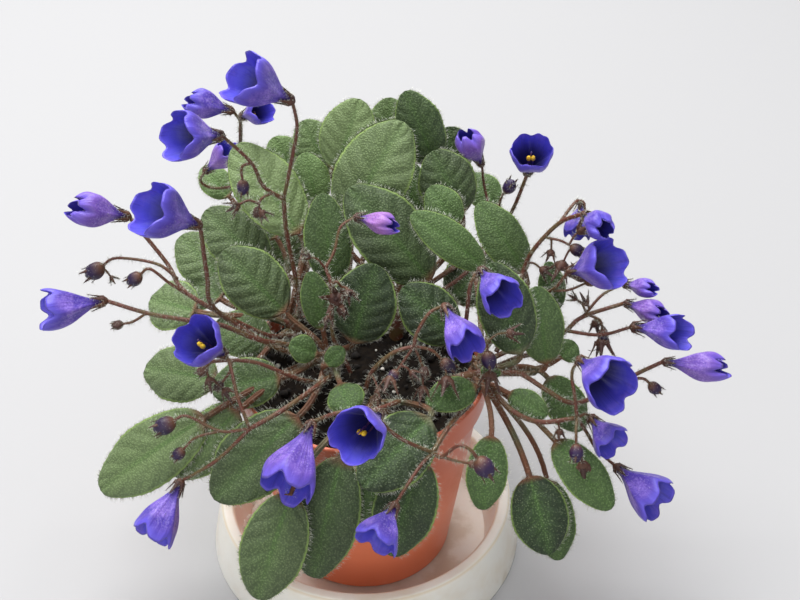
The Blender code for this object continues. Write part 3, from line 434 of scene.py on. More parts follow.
class Skin:
    """The points and faces of one piece, gathered part by part and made one mesh."""

    def __init__(self):
        self.points, self.faces, self.uvs, self.slots = [], [], [], []
        self.tones, self.sides = [], []
        self.count = 0

    def add(self, points, faces, uvs, slot, tone=0.5, side=0.0):
        """Adds points in millimetres and one array of faces for each of the arrays in faces."""
        for part, uv in zip(faces, uvs):
            self.faces.append(part + self.count)
            self.uvs.append(uv)
            self.slots.append(np.full(len(part), slot))
        self.points.append(points)
        self.tones.append(np.broadcast_to(tone, len(points)))
        self.sides.append(np.broadcast_to(side, len(points)))
        self.count += len(points)

    def add_rings(self, rings, slot, along=None, across=None, tone=0.5, side=0.0, ends=(None, None)):
        """A closed skin over rings of points: quads between them and a fan to a pole at each end."""
        number, columns, _ = rings.shape
        along = np.linspace(0.0, 1.0, number) if along is None else along
        across = np.linspace(0.0, 1.0, columns + 1) if across is None else across
        start = rings[0].mean(axis=0) if ends[0] is None else ends[0]
        end = rings[-1].mean(axis=0) if ends[1] is None else ends[1]
        points = np.vstack([rings.reshape(-1, 3), start, end])
        last = (number - 1) * columns
        quads, quad_uv = ring_faces(number, columns, along, across)
        foot, foot_uv = fan_faces(0, columns, number * columns, along[0], across)
        top, top_uv = fan_faces(last, columns, number * columns + 1, along[-1], across)
        foot, foot_uv = foot[:, ::-1], foot_uv[:, ::-1]
        corners = np.vstack([quads[:, :3], quads[:, (0, 2, 3)], foot, top])
        a, b, c = (points[corners[:, i]] for i in range(3))
        faces, uvs = [quads, foot, top], [quad_uv, foot_uv, top_uv]
        if np.einsum("ij,ij->", a, np.cross(b, c)) < 0:
            faces, uvs = [f[:, ::-1] for f in faces], [uv[:, ::-1] for uv in uvs]
        values = [np.append(np.broadcast_to(value, (number, columns)).reshape(-1), [np.mean(value)] * 2)
                  for value in (tone, side)]
        self.add(points, faces, uvs, slot, *values)

    def add_hairs(self, roots, ways, lengths, radius, slot, tone=0.5):
        """Hairs: three points round each root and one at its tip, as closed spikes."""
        ways = unit(ways)
        helper = np.where(np.abs(ways[:, 2:]) < 0.9, np.array([[0.0, 0.0, 1.0]]), np.array([[1.0, 0.0, 0.0]]))
        first = unit(np.cross(ways, helper))
        second = np.cross(ways, first)
        turns = math.tau * np.arange(3)[None, :, None] / 3
        feet = roots[:, None] + radius * (np.cos(turns) * first[:, None] + np.sin(turns) * second[:, None])
        tips = (roots + ways * np.reshape(lengths, (-1, 1)))[:, None]
        points = np.concatenate([feet, tips], axis=1).reshape(-1, 3)
        pattern = np.array([[0, 1, 3], [1, 2, 3], [2, 0, 3], [2, 1, 0]])
        faces = (pattern[None] + 4 * np.arange(len(roots))[:, None, None]).reshape(-1, 3)
        heights = (pattern == 3).astype(float)
        uv = np.stack([heights, np.zeros_like(heights)], -1)
        self.add(points, [faces], [np.tile(uv, (len(roots), 1, 1))], slot, tone)

    def make(self, name, materials, slot, *replaced):
        """The piece: a smooth mesh at its place, which rides on the part and stands for its nodes."""
        mesh = bpy.data.meshes.new(name)
        points = np.vstack(self.points) * MM
        sizes = np.concatenate([np.full(len(part), part.shape[1]) for part in self.faces])
        mesh.vertices.add(len(points))
        mesh.vertices.foreach_set("co", points.ravel())
        mesh.loops.add(int(sizes.sum()))
        mesh.loops.foreach_set("vertex_index", np.concatenate([part.ravel() for part in self.faces]))
        mesh.polygons.add(len(sizes))
        mesh.polygons.foreach_set("loop_start", np.concatenate([[0], np.cumsum(sizes)[:-1]]))
        mesh.polygons.foreach_set("material_index", np.concatenate(self.slots))
        mesh.polygons.foreach_set("use_smooth", np.ones(len(sizes), dtype=bool))
        layer = mesh.uv_layers.new(name="surface")
        layer.data.foreach_set("uv", np.concatenate([uv.ravel() for uv in self.uvs]))
        for title, values in (("tone", self.tones), ("side", self.sides)):
            attribute = mesh.attributes.new(title, "FLOAT", "POINT")
            attribute.data.foreach_set("value", np.concatenate(values).astype(np.float32))
        mesh.update(calc_edges=True)
        for material in materials:
            mesh.materials.append(material)
        piece = bpy.data.objects.new(name, mesh)
        bpy.context.scene.collection.objects.link(piece)
        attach(piece, "root")
        if replaced:
            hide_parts(*replaced)
        return piece


class Amount:
    """A number that varies over a surface; arithmetic on it adds the Math nodes that work it out."""

    def __init__(self, paint, socket):
        self.paint, self.socket = paint, socket

    def worked(self, operation, *numbers):
        math_node = self.paint.node("ShaderNodeMath", {"operation": operation}, dict(enumerate(numbers)))
        return Amount(self.paint, math_node.outputs[0])

    def __add__(self, other):
        return self.worked("ADD", self, other)

    def __radd__(self, other):
        return self.worked("ADD", other, self)

    def __sub__(self, other):
        return self.worked("SUBTRACT", self, other)

    def __rsub__(self, other):
        return self.worked("SUBTRACT", other, self)

    def __mul__(self, other):
        return self.worked("MULTIPLY", self, other)

    def __rmul__(self, other):
        return self.worked("MULTIPLY", other, self)

    def __pow__(self, other):
        return self.worked("POWER", self, other)

    def __abs__(self):
        return self.worked("ABSOLUTE", self)

    def fraction(self):
        return self.worked("FRACT", self)

    def ramp(self, low, high, start=0.0, end=1.0):
        """Start below low, end above high, and a smooth step between them."""
        inputs = {"Value": self, "From Min": low, "From Max": high, "To Min": start, "To Max": end}
        step = self.paint.node("ShaderNodeMapRange", {"interpolation_type": "SMOOTHSTEP"}, inputs)
        return Amount(self.paint, step.outputs["Result"])


class Paint:
    """One material and the nodes that colour it."""

    def __init__(self, name, roughness, **constants):
        self.material = bpy.data.materials.new(name)
        self.material.use_nodes = True
        self.tree = self.material.node_tree
        self.shader = self.tree.nodes["Principled BSDF"]
        self.shader.inputs["Roughness"].default_value = roughness
        for title, value in constants.items():
            self.shader.inputs[title.replace("_", " ")].default_value = value

    def node(self, kind, settings, inputs):
        """Adds a node: its settings first, then the value or link of each socket."""
        made = self.tree.nodes.new(kind)
        for title, value in settings.items():
            setattr(made, title, value)
        for key, value in inputs.items():
            source = getattr(value, "socket", value)
            if isinstance(source, bpy.types.NodeSocket):
                self.tree.links.new(source, made.inputs[key])
            else:
                made.inputs[key].default_value = source
        return made

    def place(self):
        return self.node("ShaderNodeTexCoord", {}, {}).outputs["Object"]

    def attribute(self, title):
        found = self.node("ShaderNodeAttribute", {"attribute_name": title}, {})
        return Amount(self, found.outputs["Fac"])

    def along_across(self):
        """The two texture coordinates of the piece's own surface."""
        layer = self.node("ShaderNodeUVMap", {"uv_map": "surface"}, {})
        split = self.node("ShaderNodeSeparateXYZ", {}, {0: layer.outputs[0]})
        return Amount(self, split.outputs[0]), Amount(self, split.outputs[1])

    def height(self):
        split = self.node("ShaderNodeSeparateXYZ", {}, {0: self.place()})
        return Amount(self, split.outputs["Z"])

    def noise(self, scale, detail=2.0, roughness=0.5, vector=None):
        inputs = {"Vector": vector or self.place(), "Scale": scale, "Detail": detail, "Roughness": roughness}
        made = self.node("ShaderNodeTexNoise", {}, inputs)
        return Amount(self, made.outputs[0])

    def cells(self, scale, feature="F1"):
        inputs = {"Vector": self.place(), "Scale": scale}
        made = self.node("ShaderNodeTexVoronoi", {"feature": feature}, inputs)
        return Amount(self, made.outputs["Distance"])

    def mix(self, amount, first, second, blend="MIX"):
        settings = {"data_type": "RGBA", "blend_type": blend}
        inputs = {0: amount, 6: self.colour(first), 7: self.colour(second)}
        return self.node("ShaderNodeMix", settings, inputs).outputs[2]

    def colour(self, value):
        return value if isinstance(value, bpy.types.NodeSocket) else (*tuple(value)[:3], 1.0)

    def use(self, colour=None, roughness=None, relief=None, depth=0.0003):
        """Links what varies to the shader: colour, roughness, and relief through a Bump node."""
        if colour is not None:
            source = self.colour(colour)
            if isinstance(source, bpy.types.NodeSocket):
                self.tree.links.new(source, self.shader.inputs["Base Color"])
            else:
                self.shader.inputs["Base Color"].default_value = source
        if roughness is not None:
            self.tree.links.new(roughness.socket, self.shader.inputs["Roughness"])
        if relief is not None:
            bump = self.node("ShaderNodeBump", {}, {"Height": relief, "Distance": depth, "Strength": 1.0})
            self.tree.links.new(bump.outputs[0], self.shader.inputs["Normal"])
        return self.material


def leaf_line(root, neck, tip, face, petiole_stations, blade_stations):
    """Centre line of a petiole and midrib at the stations, with the blade's side direction."""
    chord = unit(tip - neck)
    side = unit(np.cross(chord, face))
    normal = np.cross(side, chord)
    blade_length = np.linalg.norm(tip - neck)
    leave = chord * math.cos(ARCH) + normal * math.sin(ARCH)
    arrive = chord * math.cos(ARCH) - normal * math.sin(ARCH)
    reach = np.linalg.norm(neck - root)
    lift = min(max(RISE_LEVEL + RISE_PER_MM * (neck[2] - root[2]), RISE_LEAST), RISE_MOST)
    rise = unit(unit(neck - root) + lift * np.array([0.0, 0.0, 1.0]))
    petiole = hermite(root, neck, rise * reach, leave * reach, petiole_stations)
    blade = hermite(neck, tip, leave * blade_length, arrive * blade_length, blade_stations)
    return petiole, blade, side


def blade_section(share, across, half_width, upper, waves):
    """Height of a blade's skin: the fold less the curl, plus or less half the thickness, with a groove
    over the midrib, a rib below it, a swell between each two veins, and waves towards the margins."""
    soft = np.sqrt(across**2 + 0.012) - 0.11
    lift = half_width * (MIDRIB_FOLD * soft - MARGIN_CURL * across**2)
    half_thick = BLADE_THICK / 2 * np.sqrt(1.0 - across**4)
    beside = across * half_width
    groove = GROOVE * np.exp(-(beside / 0.8) ** 2)
    rib = (RIB_DEPTH - BLADE_THICK / 2) * (1.0 - 0.7 * share) * np.exp(-(beside / 0.9) ** 2)
    skin = np.where(upper, half_thick - groove * half_thick / BLADE_THICK * 2, -half_thick - rib)
    phase = math.tau * VEIN_PAIRS * (share - 0.22 * np.abs(across) ** 1.2)
    swell = 0.12 * np.sin(math.pi * np.abs(across)) * -np.cos(phase) * np.minimum(1.0, half_width / 9.0) ** 2
    amount, first, second = waves
    turn = np.where(across < 0, first, second)
    wave = amount * across**4 * np.sin(math.tau * 2.3 * share + turn)
    return lift + skin + swell + wave


def leaf_rings(root, neck, tip, width, face, rng):
    """Rings of a leaf: a round petiole whose section turns, over the neck, into a folded, arched blade of
    oval outline. Half width is the square root of one less the square of twice the share less one, and a
    little less towards the tip."""
    petiole_stations = np.linspace(0.0, 0.97, PETIOLE_RINGS)
    shares = 0.5 - 0.5 * np.cos(np.linspace(0.0, math.pi, BLADE_RINGS + 1))[:-1]
    shares = np.clip(0.35 * shares + 0.65 * np.linspace(0.0, 1.0, BLADE_RINGS + 1)[:-1], 0.0, 0.995)
    petiole, blade, side = leaf_line(root, neck, tip, face, petiole_stations, shares)
    line = np.vstack([petiole, blade])
    along = unit(np.gradient(line, axis=0))
    across_axis = unit(side - along * (along @ side)[:, None])
    up_axis = np.cross(across_axis, along)
    sweep = np.linspace(0.0, math.pi, BLADE_COLUMNS + 1)
    sweep = sweep - 0.12 * np.sin(2.0 * sweep)
    across = np.concatenate([-np.cos(sweep[:-1]), np.cos(sweep[:-1])])[None]
    upper = np.arange(2 * BLADE_COLUMNS)[None] < BLADE_COLUMNS
    share = np.concatenate([np.full(PETIOLE_RINGS, -1.0), shares])[:, None]
    radius = PETIOLE_RADIUS if width > SMALL_LEAF else 0.85 * PETIOLE_RADIUS
    blade_part = smooth(0.0, 0.09, share)
    oval = np.sqrt(np.clip(1.0 - (2.0 * share - 1.0) ** 2, 0.0, 1.0))
    oval = oval * (1.0 - 0.17 * smooth(0.58, 1.0, share))
    half_width = np.sqrt((radius * (1.0 - blade_part)) ** 2 + (width / 2 * oval) ** 2)
    half_width = half_width * (1.0 + 0.012 * blade_part * np.sin(math.tau * 13.0 * share + rng.uniform(0, 6)))
    waves = (0.035 * width * rng.uniform(0.4, 1.0), *rng.uniform(0.0, math.tau, 2))
    round_up = radius * np.sqrt(1.0 - across**2) * np.where(upper, 1.0, -1.0)
    blade_up = blade_section(np.maximum(share, 0.0), across, half_width, upper, waves)
    up = (1.0 - blade_part) * round_up + blade_part * blade_up
    rings = (line[:, None] + (across * half_width)[..., None] * across_axis[:, None]
             + up[..., None] * up_axis[:, None])
    return rings, share[:, 0], across[0], up_axis, across_axis, along


def skin_ways(rings):
    """Outward directions of a skin of rings, from the differences along and round it."""
    along = np.gradient(rings, axis=0)
    round_it = np.roll(rings, -1, axis=1) - np.roll(rings, 1, axis=1)
    ways = np.cross(round_it, along)
    size = np.linalg.norm(ways, axis=-1, keepdims=True)
    ways = ways / np.maximum(size, 1e-9)
    outward = rings - rings.mean(axis=1, keepdims=True)
    return ways * np.sign(np.sum(ways * outward, axis=(1, 2), keepdims=True) + 1e-12)


def picked(rings, ways, ring_range, columns, number, rng):
    """Seeded points on a skin between its rings, and the outward directions there."""
    i = rng.uniform(ring_range[0], ring_range[1] - 1.001, number)
    j = rng.choice(columns, number)
    low = i.astype(int)
    share = (i - low)[:, None]
    beside = rng.uniform(0.0, 1.0, (number, 1))
    k = (j + 1) % rings.shape[1]
    here = rings[low, j] * (1 - share) + rings[low + 1, j] * share
    there = rings[low, k] * (1 - share) + rings[low + 1, k] * share
    return here * (1 - beside) + there * beside, ways[low, j]


def leaf_painted_light_and_tone(neck, tip, rng):
    """How pale and grey a blade is painted, as painted light and shade: painted light to the left, at the top and
    low in front, and painted shade in the middle, with a random part of the blade's own tone."""
    x, y, z = (neck + tip) / 2
    left = smooth(10.0, 60.0, -x)
    high = smooth(112.0, 148.0, z) * (1.0 - 0.8 * smooth(0.0, 24.0, x))
    low = smooth(-92.0, -60.0, -z) * smooth(-20.0, 10.0, -x)
    inner = smooth(-45.0, -15.0, -np.hypot(x, y)) * smooth(-115.0, -95.0, -z)
    painted_light_and_tone = 0.07 + 0.42 * left + 0.72 * high + 0.12 * low - 0.14 * inner + rng.uniform(-0.08, 0.12)
    return float(np.clip(painted_light_and_tone, 0.0, 1.0))


def add_leaf(skin, row, root, sizes, rng):
    """One leaf and its hairs: long ones on the margins and petiole, short ones over both faces."""
    width = row[3]
    neck, tip, face = (np.array(value, dtype=float) for value in (row[1], row[2], row[4]))
    rings, share, across, up_axis, across_axis, along = leaf_rings(root, neck, tip, width, face, rng)
    # A blade's tone is its painted light and shade from its place, and small blades are paler still.
    tone = leaf_painted_light_and_tone(neck, tip, rng) + (0.22 if width <= SMALL_LEAF else 0.0)
    lower = np.where(np.arange(len(across)) < BLADE_COLUMNS, smooth(12.0, 26.0, width) - 1.0, 1.0)[None]
    edges = np.append(across, -1.0)
    stem_part = PETIOLE_RINGS + 2
    skin.add_rings(rings, 0, share, edges, tone, lower, ends=(None, tip))
    ways = skin_ways(rings)
    blade_length = np.linalg.norm(tip - neck)
    reach = np.linalg.norm(neck - root)
    last = len(rings)
    faces = (np.arange(BLADE_COLUMNS), 0.45), (np.arange(BLADE_COLUMNS, 2 * BLADE_COLUMNS), 0.20)
    for columns, count in faces:
        number = int(sizes.hair_density * count * width * blade_length)
        roots, normals = picked(rings, ways, (stem_part, last), columns, number, rng)
        lean = rng.normal(0.0, 0.45, roots.shape) + 0.3 * unit(tip - neck)
        lengths = sizes.hair_length * rng.uniform(0.35, 0.75, number)
        skin.add_hairs(roots, normals + lean, lengths, 0.5 * sizes.hair_radius, 3, tone)
    for column, way in ((0, -1.0), (BLADE_COLUMNS, 1.0)):
        number = int(sizes.hair_density * 3.3 * blade_length)
        place = rng.uniform(stem_part - 1, last - 1.001, number)
        low = place.astype(int)
        part = (place - low)[:, None]
        roots = rings[low, column] * (1 - part) + rings[low + 1, column] * part
        outward = way * across_axis[low] + 0.35 * along[low] * smooth(0.3, 1.0, share[low])[:, None]
        lean = rng.normal(0.0, 0.35, roots.shape)
        lengths = sizes.hair_length * rng.uniform(0.7, 1.7, number)
        skin.add_hairs(roots, outward + lean, lengths, sizes.hair_radius, 1, tone)
    number = int(sizes.hair_density * 3.5 * reach)
    roots, normals = picked(rings, ways, (0, stem_part), np.arange(2 * BLADE_COLUMNS), number, rng)
    lengths = sizes.hair_length * rng.uniform(0.8, 1.9, number)
    skin.add_hairs(roots, normals + rng.normal(0.0, 0.3, roots.shape), lengths, sizes.hair_radius, 1, tone)


def stem_rings(points, radius, end_radius, sides, steps=PATH_STEPS):
    """Rings of a stem: circles carried along a smooth path, narrower towards its end."""
    line = path_through(points, steps)
    along, first, second = path_frames(line)
    turns = math.tau * np.arange(sides)[None, :, None] / sides
    radii = np.linspace(radius, end_radius, len(line))[:, None, None]
    return line[:, None] + radii * (np.cos(turns) * first[:, None] + np.sin(turns) * second[:, None]), line


def add_stem(skin, points, radius, slot, hair_slot, sizes, rng, tone=0.5, hairs=7.0):
    """A hairy stem; its hairs stand square to it and lean at random."""
    rings, line = stem_rings(points, radius, radius * STEM_TAPER, STEM_SIDES)
    skin.add_rings(rings, slot, tone=tone)
    length = np.sum(np.linalg.norm(np.diff(line, axis=0), axis=1))
    number = int(sizes.hair_density * hairs * length)
    roots, normals = picked(rings, skin_ways(rings), (0, len(rings)), np.arange(STEM_SIDES), number, rng)
    lengths = sizes.hair_length * rng.uniform(0.6, 1.6, number)
    skin.add_hairs(roots, normals + rng.normal(0.0, 0.3, roots.shape), lengths, sizes.hair_radius, hair_slot, tone)


def bell_frame(base, mouth):
    """Axis of a bell, the direction of its upper lip, and the third direction."""
    axis = unit(mouth - base)
    up = unit(np.array([0.0, 0.0, 1.0]) - axis * axis[2])
    return axis, up, np.cross(axis, up)


def round_axis(centre, axis, up, side, angles, radii, heights):
    """Points round an axis, each at its own angle, radius and height along it."""
    angles, radii, heights = (np.asarray(value, dtype=float)[..., None] for value in (angles, radii, heights))
    return centre + radii * (np.cos(angles) * up + np.sin(angles) * side) + heights * axis


def bell_skin(kind, radius, length, shares, angles, rng):
    """Radius and height of a bell's wall. Radius is a cubic in the share of the length, drawn in at the
    five notches of the rim; height is the share of a length that is less at the notches and more at the
    lower lip; the lobes between flare and ripple."""
    known, widths = zip((0.0, 0.17), *BELL_RINGS[kind], BELL_RIM[kind])
    profile = np.polyval(np.polyfit(known, widths, 3), np.minimum(shares, 1.0))
    notch = np.abs(np.cos(LOBES / 2 * angles)) ** NOTCH_SHARP
    lobe = 1.0 - notch
    lower = (1.0 - np.cos(angles)) / 2.0
    towards_rim = smooth(0.55, 1.0, shares)
    rim_share = BELL_RIM[kind][0]
    top = rim_share - NOTCH_BACK * notch + LOWER_LIP * (lower - 0.5) * towards_rim
    turns = rng.uniform(0.0, math.tau, 3)
    ripple = (0.030 * np.sin(4 * angles + turns[0]) + 0.018 * np.sin(13 * angles + turns[1])) * towards_rim
    pleat = 0.020 * np.cos(LOBES * angles) * smooth(0.05, 0.4, shares)
    curl = rng.uniform(-0.06, 0.08) if kind == OPEN else -0.04
    flare = curl * smooth(0.75, 1.0, shares) * (0.6 + 0.4 * lobe)
    narrow = (1.0 - NOTCH_NARROW) * NOTCH_SHARE * notch
    radii = radius * profile * (1.0 - narrow * towards_rim + ripple + pleat + flare)
    sway = 0.02 * np.sin(2 * angles + turns[2]) * towards_rim
    heights = length * shares * (top + sway)
    return radii, heights


def add_bell(skin, base, mouth, radius, kind, pale, sizes, rng):
    """A bell: an outer and an inner skin that meet at the rim, with the inner one closed in the throat, and
    short hairs on the outside of its tube."""
    axis, up, side = bell_frame(base, mouth)
    length = np.linalg.norm(mouth - base)
    shares = np.linspace(BELL_START / length * 0.8, 1.0, BELL_RINGS_ALONG)[:, None]
    angles = math.tau * np.arange(BELL_COLUMNS)[None] / BELL_COLUMNS
    radii, heights = bell_skin(kind, radius, length, shares, angles, rng)
    outer = round_axis(base, axis, up, side, angles, radii, heights)
    deep = BELL_RINGS_ALONG // 5
    wall = 0.38 * np.sqrt(1.0 - shares[deep:] ** 6)
    inner = round_axis(base, axis, up, side, angles, radii[deep:] - wall, heights[deep:])[::-1][1:]
    rings = np.concatenate([outer, inner])
    along = np.concatenate([shares[:, 0], shares[deep:][::-1][1:, 0]])
    inside = (np.arange(len(rings)) >= BELL_RINGS_ALONG - 0.5).astype(float)[:, None]
    skin.add_rings(rings, 0, along, tone=pale, side=inside)
    own = rng.spawn(1)[0]
    number = int(sizes.hair_density * 90)
    roots, normals = picked(outer, skin_ways(outer), (1, BELL_RINGS_ALONG - 5), np.arange(BELL_COLUMNS), number, own)
    ways = normals - 0.3 * axis + own.normal(0.0, 0.25, roots.shape)
    skin.add_hairs(roots, ways, sizes.hair_length * own.uniform(0.3, 0.7, number), 0.6 * sizes.hair_radius, 3)
    return axis, up, side, length


def add_ball(skin, centre, axis, up, side, radius, long_radius, slot, tone=0.5, columns=12, rings=9):
    """A closed ball drawn out along an axis: radius is the sine, height the cosine of one angle."""
    sweep = np.linspace(0.12, math.pi - 0.12, rings)[:, None]
    angles = math.tau * np.arange(columns)[None] / columns
    points = round_axis(centre, axis, up, side, angles + 0 * sweep, radius * np.sin(sweep) + 0 * angles,
                        long_radius * -np.cos(sweep) + 0 * angles)
    skin.add_rings(points, slot, tone=tone)


def add_anthers(skin, base, axis, up, side, length, radius, depth):
    """Two yellow anthers that touch, on filaments, and the style beside them."""
    middle = base + axis * length * depth - up * radius * 0.1
    for way in (-1.0, 1.0):
        centre = middle + side * way * 0.75
        add_ball(skin, centre, axis, up, side, 0.85, 1.25, 1, tone=0.5 + 0.3 * way)
        foot = base + axis * length * 0.28 + side * way * radius * 0.12 - up * radius * 0.08
        bend = (foot + centre) / 2 - up * radius * 0.12
        rings, line = stem_rings([foot, bend, centre], 0.3, 0.25, 6)
        skin.add_rings(rings, 2)
    foot, end = base + axis * length * 0.25, middle + axis * length * 0.14 + up * radius * 0.12
    rings, line = stem_rings([foot, (foot + end) / 2 + up * 0.3, end], 0.35, 0.22, 6)
    skin.add_rings(rings, 2)
    add_ball(skin, end, axis, up, side, 0.4, 0.4, 2)


def add_sepals(skin, base, axis, size, slot, hair_slot, sizes, rng, length=SEPAL_LENGTH, spread=SEPAL_SPREAD):
    """A small cup and five narrow, pointed, hairy sepals that stand round it."""
    up = unit(np.cross(axis, WINDOW))
    side = np.cross(axis, up)
    sweep = np.linspace(0.0, 1.0, 7)[:, None]
    angles = math.tau * np.arange(12)[None] / 12
    cup_radius = size * CUP_RADIUS * np.sqrt(np.clip(1.0 - (1.0 - sweep) ** 2.2, 0.1, 1.0))
    cup = round_axis(base, axis, up, side, angles + 0 * sweep, cup_radius + 0 * angles,
                     size * (-CUP_FOOT + (CUP_FOOT + CUP_HEIGHT) * sweep) + 0 * angles)
    skin.add_rings(cup, slot, tone=0.3)
    sweep = np.linspace(0.0, 1.0, 9)[:, None]
    turns = math.tau * np.arange(8)[None] / 8
    for middle in math.tau * np.arange(LOBES) / LOBES:
        reach = size * length * rng.uniform(0.85, 1.02)
        out = size * (CUP_RADIUS * 0.95 + (spread - CUP_RADIUS) * sweep**1.3)
        width = 0.95 * size * (1.0 - sweep) ** 0.7 + 0.05
        across = np.cos(turns) * width
        through = np.sin(turns) * 0.26 * size * (1.0 - 0.7 * sweep) - 0.18 * across**2
        rings = round_axis(base, axis, up, side, middle + across / out, out + through,
                           0.4 + (reach - 0.4) * sweep + 0 * turns)
        skin.add_rings(rings, slot, tone=rng.uniform(0.2, 0.9))
        number = int(26 * sizes.hair_density)
        roots, normals = picked(rings, skin_ways(rings), (0, 9), np.arange(8), number, rng)
        lengths = sizes.hair_length * rng.uniform(0.5, 1.1, number)
        ways = normals + rng.normal(0.0, 0.4, roots.shape)
        skin.add_hairs(roots, ways, lengths, sizes.hair_radius, hair_slot)


def add_withered(skin, paths, place, size, sizes, rng):
    """A withered flower: a thin arched stem from the nearest point of its stalk, an open star of sepals
    round a shrunken ball, and the thread of the old style."""
    place = np.array(place, dtype=float)
    joints = np.vstack(paths)
    start = joints[np.argmin(np.linalg.norm(joints - place, axis=1))]
    arch = (start + place) / 2 + np.array([0.0, 0.0, 0.18 * np.linalg.norm(place - start)])
    add_stem(skin, [start, arch, place], 0.42, 0, 3, sizes, rng, tone=0.8)
    axis = unit(place - arch + rng.normal(0.0, 0.5, 3))
    up = unit(np.cross(axis, WINDOW))
    side = np.cross(axis, up)
    add_sepals(skin, place, axis, 0.5 * size, 1, 3, sizes, rng, length=5.5, spread=4.2)
    add_ball(skin, place + axis * 0.5 * size, axis, up, side, 0.42 * size, 0.7 * size, 1, tone=0.9)
    way = unit(axis + rng.normal(0.0, 0.5, 3))
    thread = [place, place + way * size, place + way * 1.6 * size + up * 0.8 * size,
              place + way * 1.5 * size + (up + side) * 1.3 * size]
    rings, line = stem_rings(thread, 0.16, 0.10, 5)
    skin.add_rings(rings, 1, tone=1.0)


def add_bud(skin, end, axis, radius, sizes, rng):
    """A closed bud: a pointed ball in a small calyx. The smallest are dry curls with no petals left."""
    up = unit(np.cross(axis, WINDOW))
    side = np.cross(axis, up)
    centre = end + axis * radius * BUD_SHIFT
    dry = radius < 2.0
    sweep = np.linspace(0.1, math.pi - 0.06, 15)[:, None]
    angles = math.tau * np.arange(20)[None] / 20
    ridge = 1.0 + (0.10 if dry else 0.05) * np.cos(LOBES * angles + 2.0 * sweep) * np.sin(sweep)
    point = 1.0 - 0.28 * smooth(1.6, 3.1, sweep)
    bulk = round_axis(centre, axis, up, side, angles + 0.6 * sweep, radius * np.sin(sweep) * ridge * point,
                      -radius * BUD_STRETCH * np.cos(sweep) + 0 * angles)
    skin.add_rings(bulk, 1 if dry else 2, tone=rng.uniform(0.0, 1.0))
    number = int(40 * sizes.hair_density)
    roots, normals = picked(bulk, skin_ways(bulk), (0, 15), np.arange(20), number, rng)
    ways = normals + rng.normal(0.0, 0.3, roots.shape)
    skin.add_hairs(roots, ways, sizes.hair_length * rng.uniform(0.4, 0.9, number), sizes.hair_radius, 3)
    size = radius / 2.6
    add_sepals(skin, end, axis, size, 1, 3, sizes, rng, length=6.5, spread=2.7)


def turned_rings(profile, fineness=1):
    """Rings of a solid of revolution: each point of the profile carried round the upright axis."""
    profile = np.asarray(profile, dtype=float)
    place = np.arange(len(profile))
    fine = np.linspace(0, len(profile) - 1, (len(profile) - 1) * fineness + 1)
    radii, heights = (np.interp(fine, place, column)[:, None] for column in profile.T)
    angles = math.tau * np.arange(TURN_COLUMNS)[None] / TURN_COLUMNS
    return np.stack([radii * np.cos(angles), radii * np.sin(angles), heights + 0 * angles], -1)


def rounded(profile, radius=0.35, steps=3):
    """A profile with each corner replaced by a short arc, drawn as a quadratic between its two cuts."""
    points = np.asarray(profile, dtype=float)
    made = [points[:1]]
    for before, corner, after in zip(points[:-2], points[1:-1], points[2:]):
        reach = min(radius, *(0.45 * np.linalg.norm(other - corner) for other in (before, after)))
        start = corner + unit(before - corner) * reach
        end = corner + unit(after - corner) * reach
        t = np.linspace(0.0, 1.0, steps + 1)[:, None]
        made.append((1 - t) ** 2 * start + 2 * t * (1 - t) * corner + t**2 * end)
    made.append(points[-1:])
    return np.vstack(made)


def saucer_profile():
    return [
        (0.05, DISH_FLOOR), (DISH_FOOT, DISH_FLOOR), (DISH_RADIUS, LIP_TOP - LIP_ROUND),
        (DISH_RADIUS + LIP_ROUND, LIP_TOP), (LIP_RADIUS - LIP_ROUND, LIP_TOP), (LIP_RADIUS, LIP_TOP - LIP_ROUND),
        (SKIRT_RADIUS, 0.0), (SKIRT_RADIUS - SAUCER_WALL, 0.0), (LIP_RADIUS - SAUCER_WALL, LIP_TOP - LIP_THICK),
        (DISH_RADIUS + SAUCER_WALL, LIP_TOP - LIP_THICK), (DISH_FOOT + SAUCER_WALL, DISH_FLOOR - SAUCER_WALL),
        (0.05, DISH_FLOOR - SAUCER_WALL),
    ]


def pot_inner_radius(height):
    """Inside radius of the pot's wall at a height."""
    bottom = DISH_FLOOR + GAP
    share = (height - bottom) / (RIM_TOP - BAND_HEIGHT - bottom)
    return FOOT_RADIUS + (RIM_RADIUS - BAND_STEP - FOOT_RADIUS) * min(share, 1.0) - POT_WALL


def pot_profile():
    bottom = DISH_FLOOR + GAP
    under_band = RIM_RADIUS - BAND_STEP
    band_foot = RIM_TOP - BAND_HEIGHT
    floor = bottom + POT_FLOOR
    return [
        (0.05, floor), (pot_inner_radius(floor) - 1.5, floor), (pot_inner_radius(floor + 1.5), floor + 1.5),
        (under_band - POT_WALL, band_foot), (RIM_RADIUS - POT_WALL, band_foot + BAND_STEP),
        (RIM_RADIUS - POT_WALL, RIM_TOP), (RIM_RADIUS - 0.5, RIM_TOP), (RIM_RADIUS, RIM_TOP - 0.5),
        (RIM_RADIUS - 0.5, band_foot + 0.5), (RIM_RADIUS - 1.0, band_foot), (under_band, band_foot - 0.5),
        (FOOT_RADIUS + 0.5, bottom + 1.0), (FOOT_RADIUS - 0.5, bottom), (0.05, bottom),
    ]


